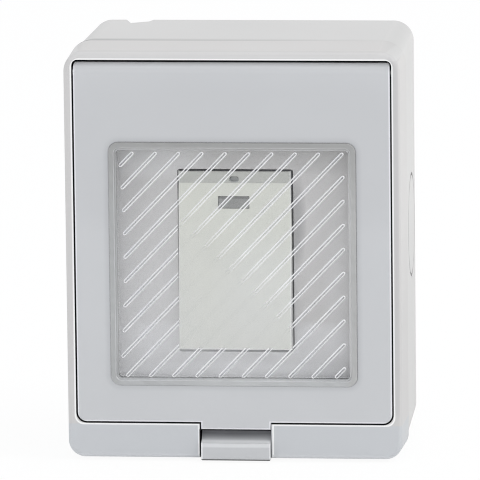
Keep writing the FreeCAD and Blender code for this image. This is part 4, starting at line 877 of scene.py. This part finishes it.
def grow(name, tree, values):
    # Runs a geometry tree with the given inputs and returns the result as a plain mesh object.
    seed = linked(name + "Seed", bpy.data.meshes.new(name + "Seed"))
    modifier = seed.modifiers.new(name, "NODES")
    modifier.node_group = tree
    sockets = {item.name: item.identifier for item in tree.interface.items_tree if item.in_out == "INPUT"}
    for title, value in values.items():
        modifier[sockets[title]] = value
    bpy.context.view_layer.update()
    graph = bpy.context.evaluated_depsgraph_get()
    mesh = bpy.data.meshes.new_from_object(seed.evaluated_get(graph))
    mesh.name = name
    bpy.data.objects.remove(seed)
    return linked(name, mesh)


def makeRibs():
    materials = {"Rib Top": membraneLooks["ribTop"], "Rib Edge": membraneLooks["ribEdgeHighlight"]}
    piece = grow("membraneRibBars", buildRibTree(), {**ribs, **materials})
    cleanMesh(piece.data, turnOutwards=True)
    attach(piece, "lid")
    print("ribs made:", len(piece.data.polygons), "faces")


makeRibs()


# Latch spring


def makeLatchSpring():
    # A merged copy of the latch spring's mesh, shaded smooth with sharp edges, in place of the imported one.
    mesh = nodes["latch_spring"].data.copy()
    mesh.name = "latchSpringCoil"
    cleanMesh(mesh, turnOutwards=False)
    smoothButSharp(mesh)
    piece = linked("latchSpringCoil", mesh)
    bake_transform(piece)
    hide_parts("latch_spring")


makeLatchSpring()
print("latch spring made")


# Floor, light and camera; the lamps and the camera are placed in metres

studio = {
    "floorDepth": -62.2, "floorSize": 6.0, "floorColour": (254, 254, 254), "floorGlow": 0.93,
    "ambient": 0.8, "ambientColour": (0.965, 0.985, 1.03, 1),
    "aim": (0, -0.03, 0),
    "lamps": [
        {
            "name": "keyLamp", "place": (1.77, -0.47, 1.85), "size": 1.6, "power": 23.0,
            "colour": (1.0, 0.99, 0.955),
        },
        {
            "name": "fillLamp", "place": (-2.2, -1.38, 0.1), "size": 1.6, "power": 10.0,
            "colour": (1.0, 0.99, 0.97),
        },
    ],
}
view = {
    "place": (0.21947, -2.10192, 0.34178), "yaw": 0.10627, "pitch": 0.16306, "roll": -0.01103,
    "lens": 525.0, "sensor": 36.0, "clip": (0.1, 50.0), "pixelFilter": 1.1,
}


def seenDirectly(tree):
    # 1 for the rays that show the background: camera, glossy and transmission rays.
    path = tree.nodes.new("ShaderNodeLightPath")
    camera, glossy, passed = (
        Sum(tree, path.outputs[title]) for title in ("Is Camera Ray", "Is Glossy Ray", "Is Transmission Ray")
    )
    return camera.largest(glossy).largest(passed)


def makeFloor():
    size, z = studio["floorSize"], studio["floorDepth"] * mm
    mesh = bpy.data.meshes.new("studioFloor")
    corners = [(-size, -size, z), (size, -size, z), (size, size, z), (-size, size, z)]
    mesh.from_pydata(corners, [], [(0, 1, 2, 3)])
    floor = linked("studioFloor", mesh)
    # It glows white for the most part, and the rest keeps the object's shadow.
    material, tree, shader = newMaterial("paleFloor", 0.9, 0.0, linear(*studio["floorColour"]))
    glow = tree.nodes.new("ShaderNodeEmission")
    glow.inputs["Strength"].default_value = 1.0
    mix = tree.nodes.new("ShaderNodeMixShader")
    tree.links.new((seenDirectly(tree) * studio["floorGlow"]).value, mix.inputs[0])
    tree.links.new(shader.outputs[0], mix.inputs[1])
    tree.links.new(glow.outputs[0], mix.inputs[2])
    tree.links.new(mix.outputs[0], tree.nodes["Material Output"].inputs[0])
    mesh.materials.append(material)


def makeWorld():
    world = bpy.data.worlds.new("studioWorld")
    scene.world = world
    world.use_nodes = True
    tree = world.node_tree
    back = tree.nodes["Background"]
    seen = seenDirectly(tree)
    ambient = studio["ambient"]
    tree.links.new((seen * (1.0 - ambient) + ambient).value, back.inputs["Strength"])
    tree.links.new(mixColour(tree, seen, studio["ambientColour"], (1, 1, 1, 1)), back.inputs["Color"])


def makeLamps():
    for lamp in studio["lamps"]:
        light = bpy.data.lights.new(lamp["name"], "AREA")
        light.shape = "DISK"
        light.size = lamp["size"]
        light.energy = lamp["power"]
        light.color = lamp["colour"]
        holder = linked(lamp["name"], light)
        holder.location = lamp["place"]
        towards = Vector(studio["aim"]) - Vector(lamp["place"])
        holder.rotation_euler = towards.to_track_quat("-Z", "Y").to_euler()


def makeCamera():
    yaw, pitch, roll = view["yaw"], view["pitch"], view["roll"]
    ahead = Vector((-math.sin(yaw) * math.cos(pitch), math.cos(yaw) * math.cos(pitch), -math.sin(pitch)))
    right = Vector((math.cos(yaw), math.sin(yaw), 0))
    up = right.cross(ahead)
    turnedRight = right * math.cos(roll) + up * math.sin(roll)
    turnedUp = up * math.cos(roll) - right * math.sin(roll)
    camera = bpy.data.cameras.new("photoCamera")
    camera.lens = view["lens"]
    camera.sensor_width = view["sensor"]
    camera.clip_start, camera.clip_end = view["clip"]
    holder = linked("photoCamera", camera)
    turn = Matrix((turnedRight, turnedUp, -ahead)).transposed().to_4x4()
    holder.matrix_world = Matrix.Translation(Vector(view["place"])) @ turn
    scene.camera = holder


makeFloor()
makeWorld()
makeLamps()
makeCamera()
scene.view_settings.view_transform = "Standard"
scene.cycles.filter_width = view["pixelFilter"]
print("floor, light and camera set")
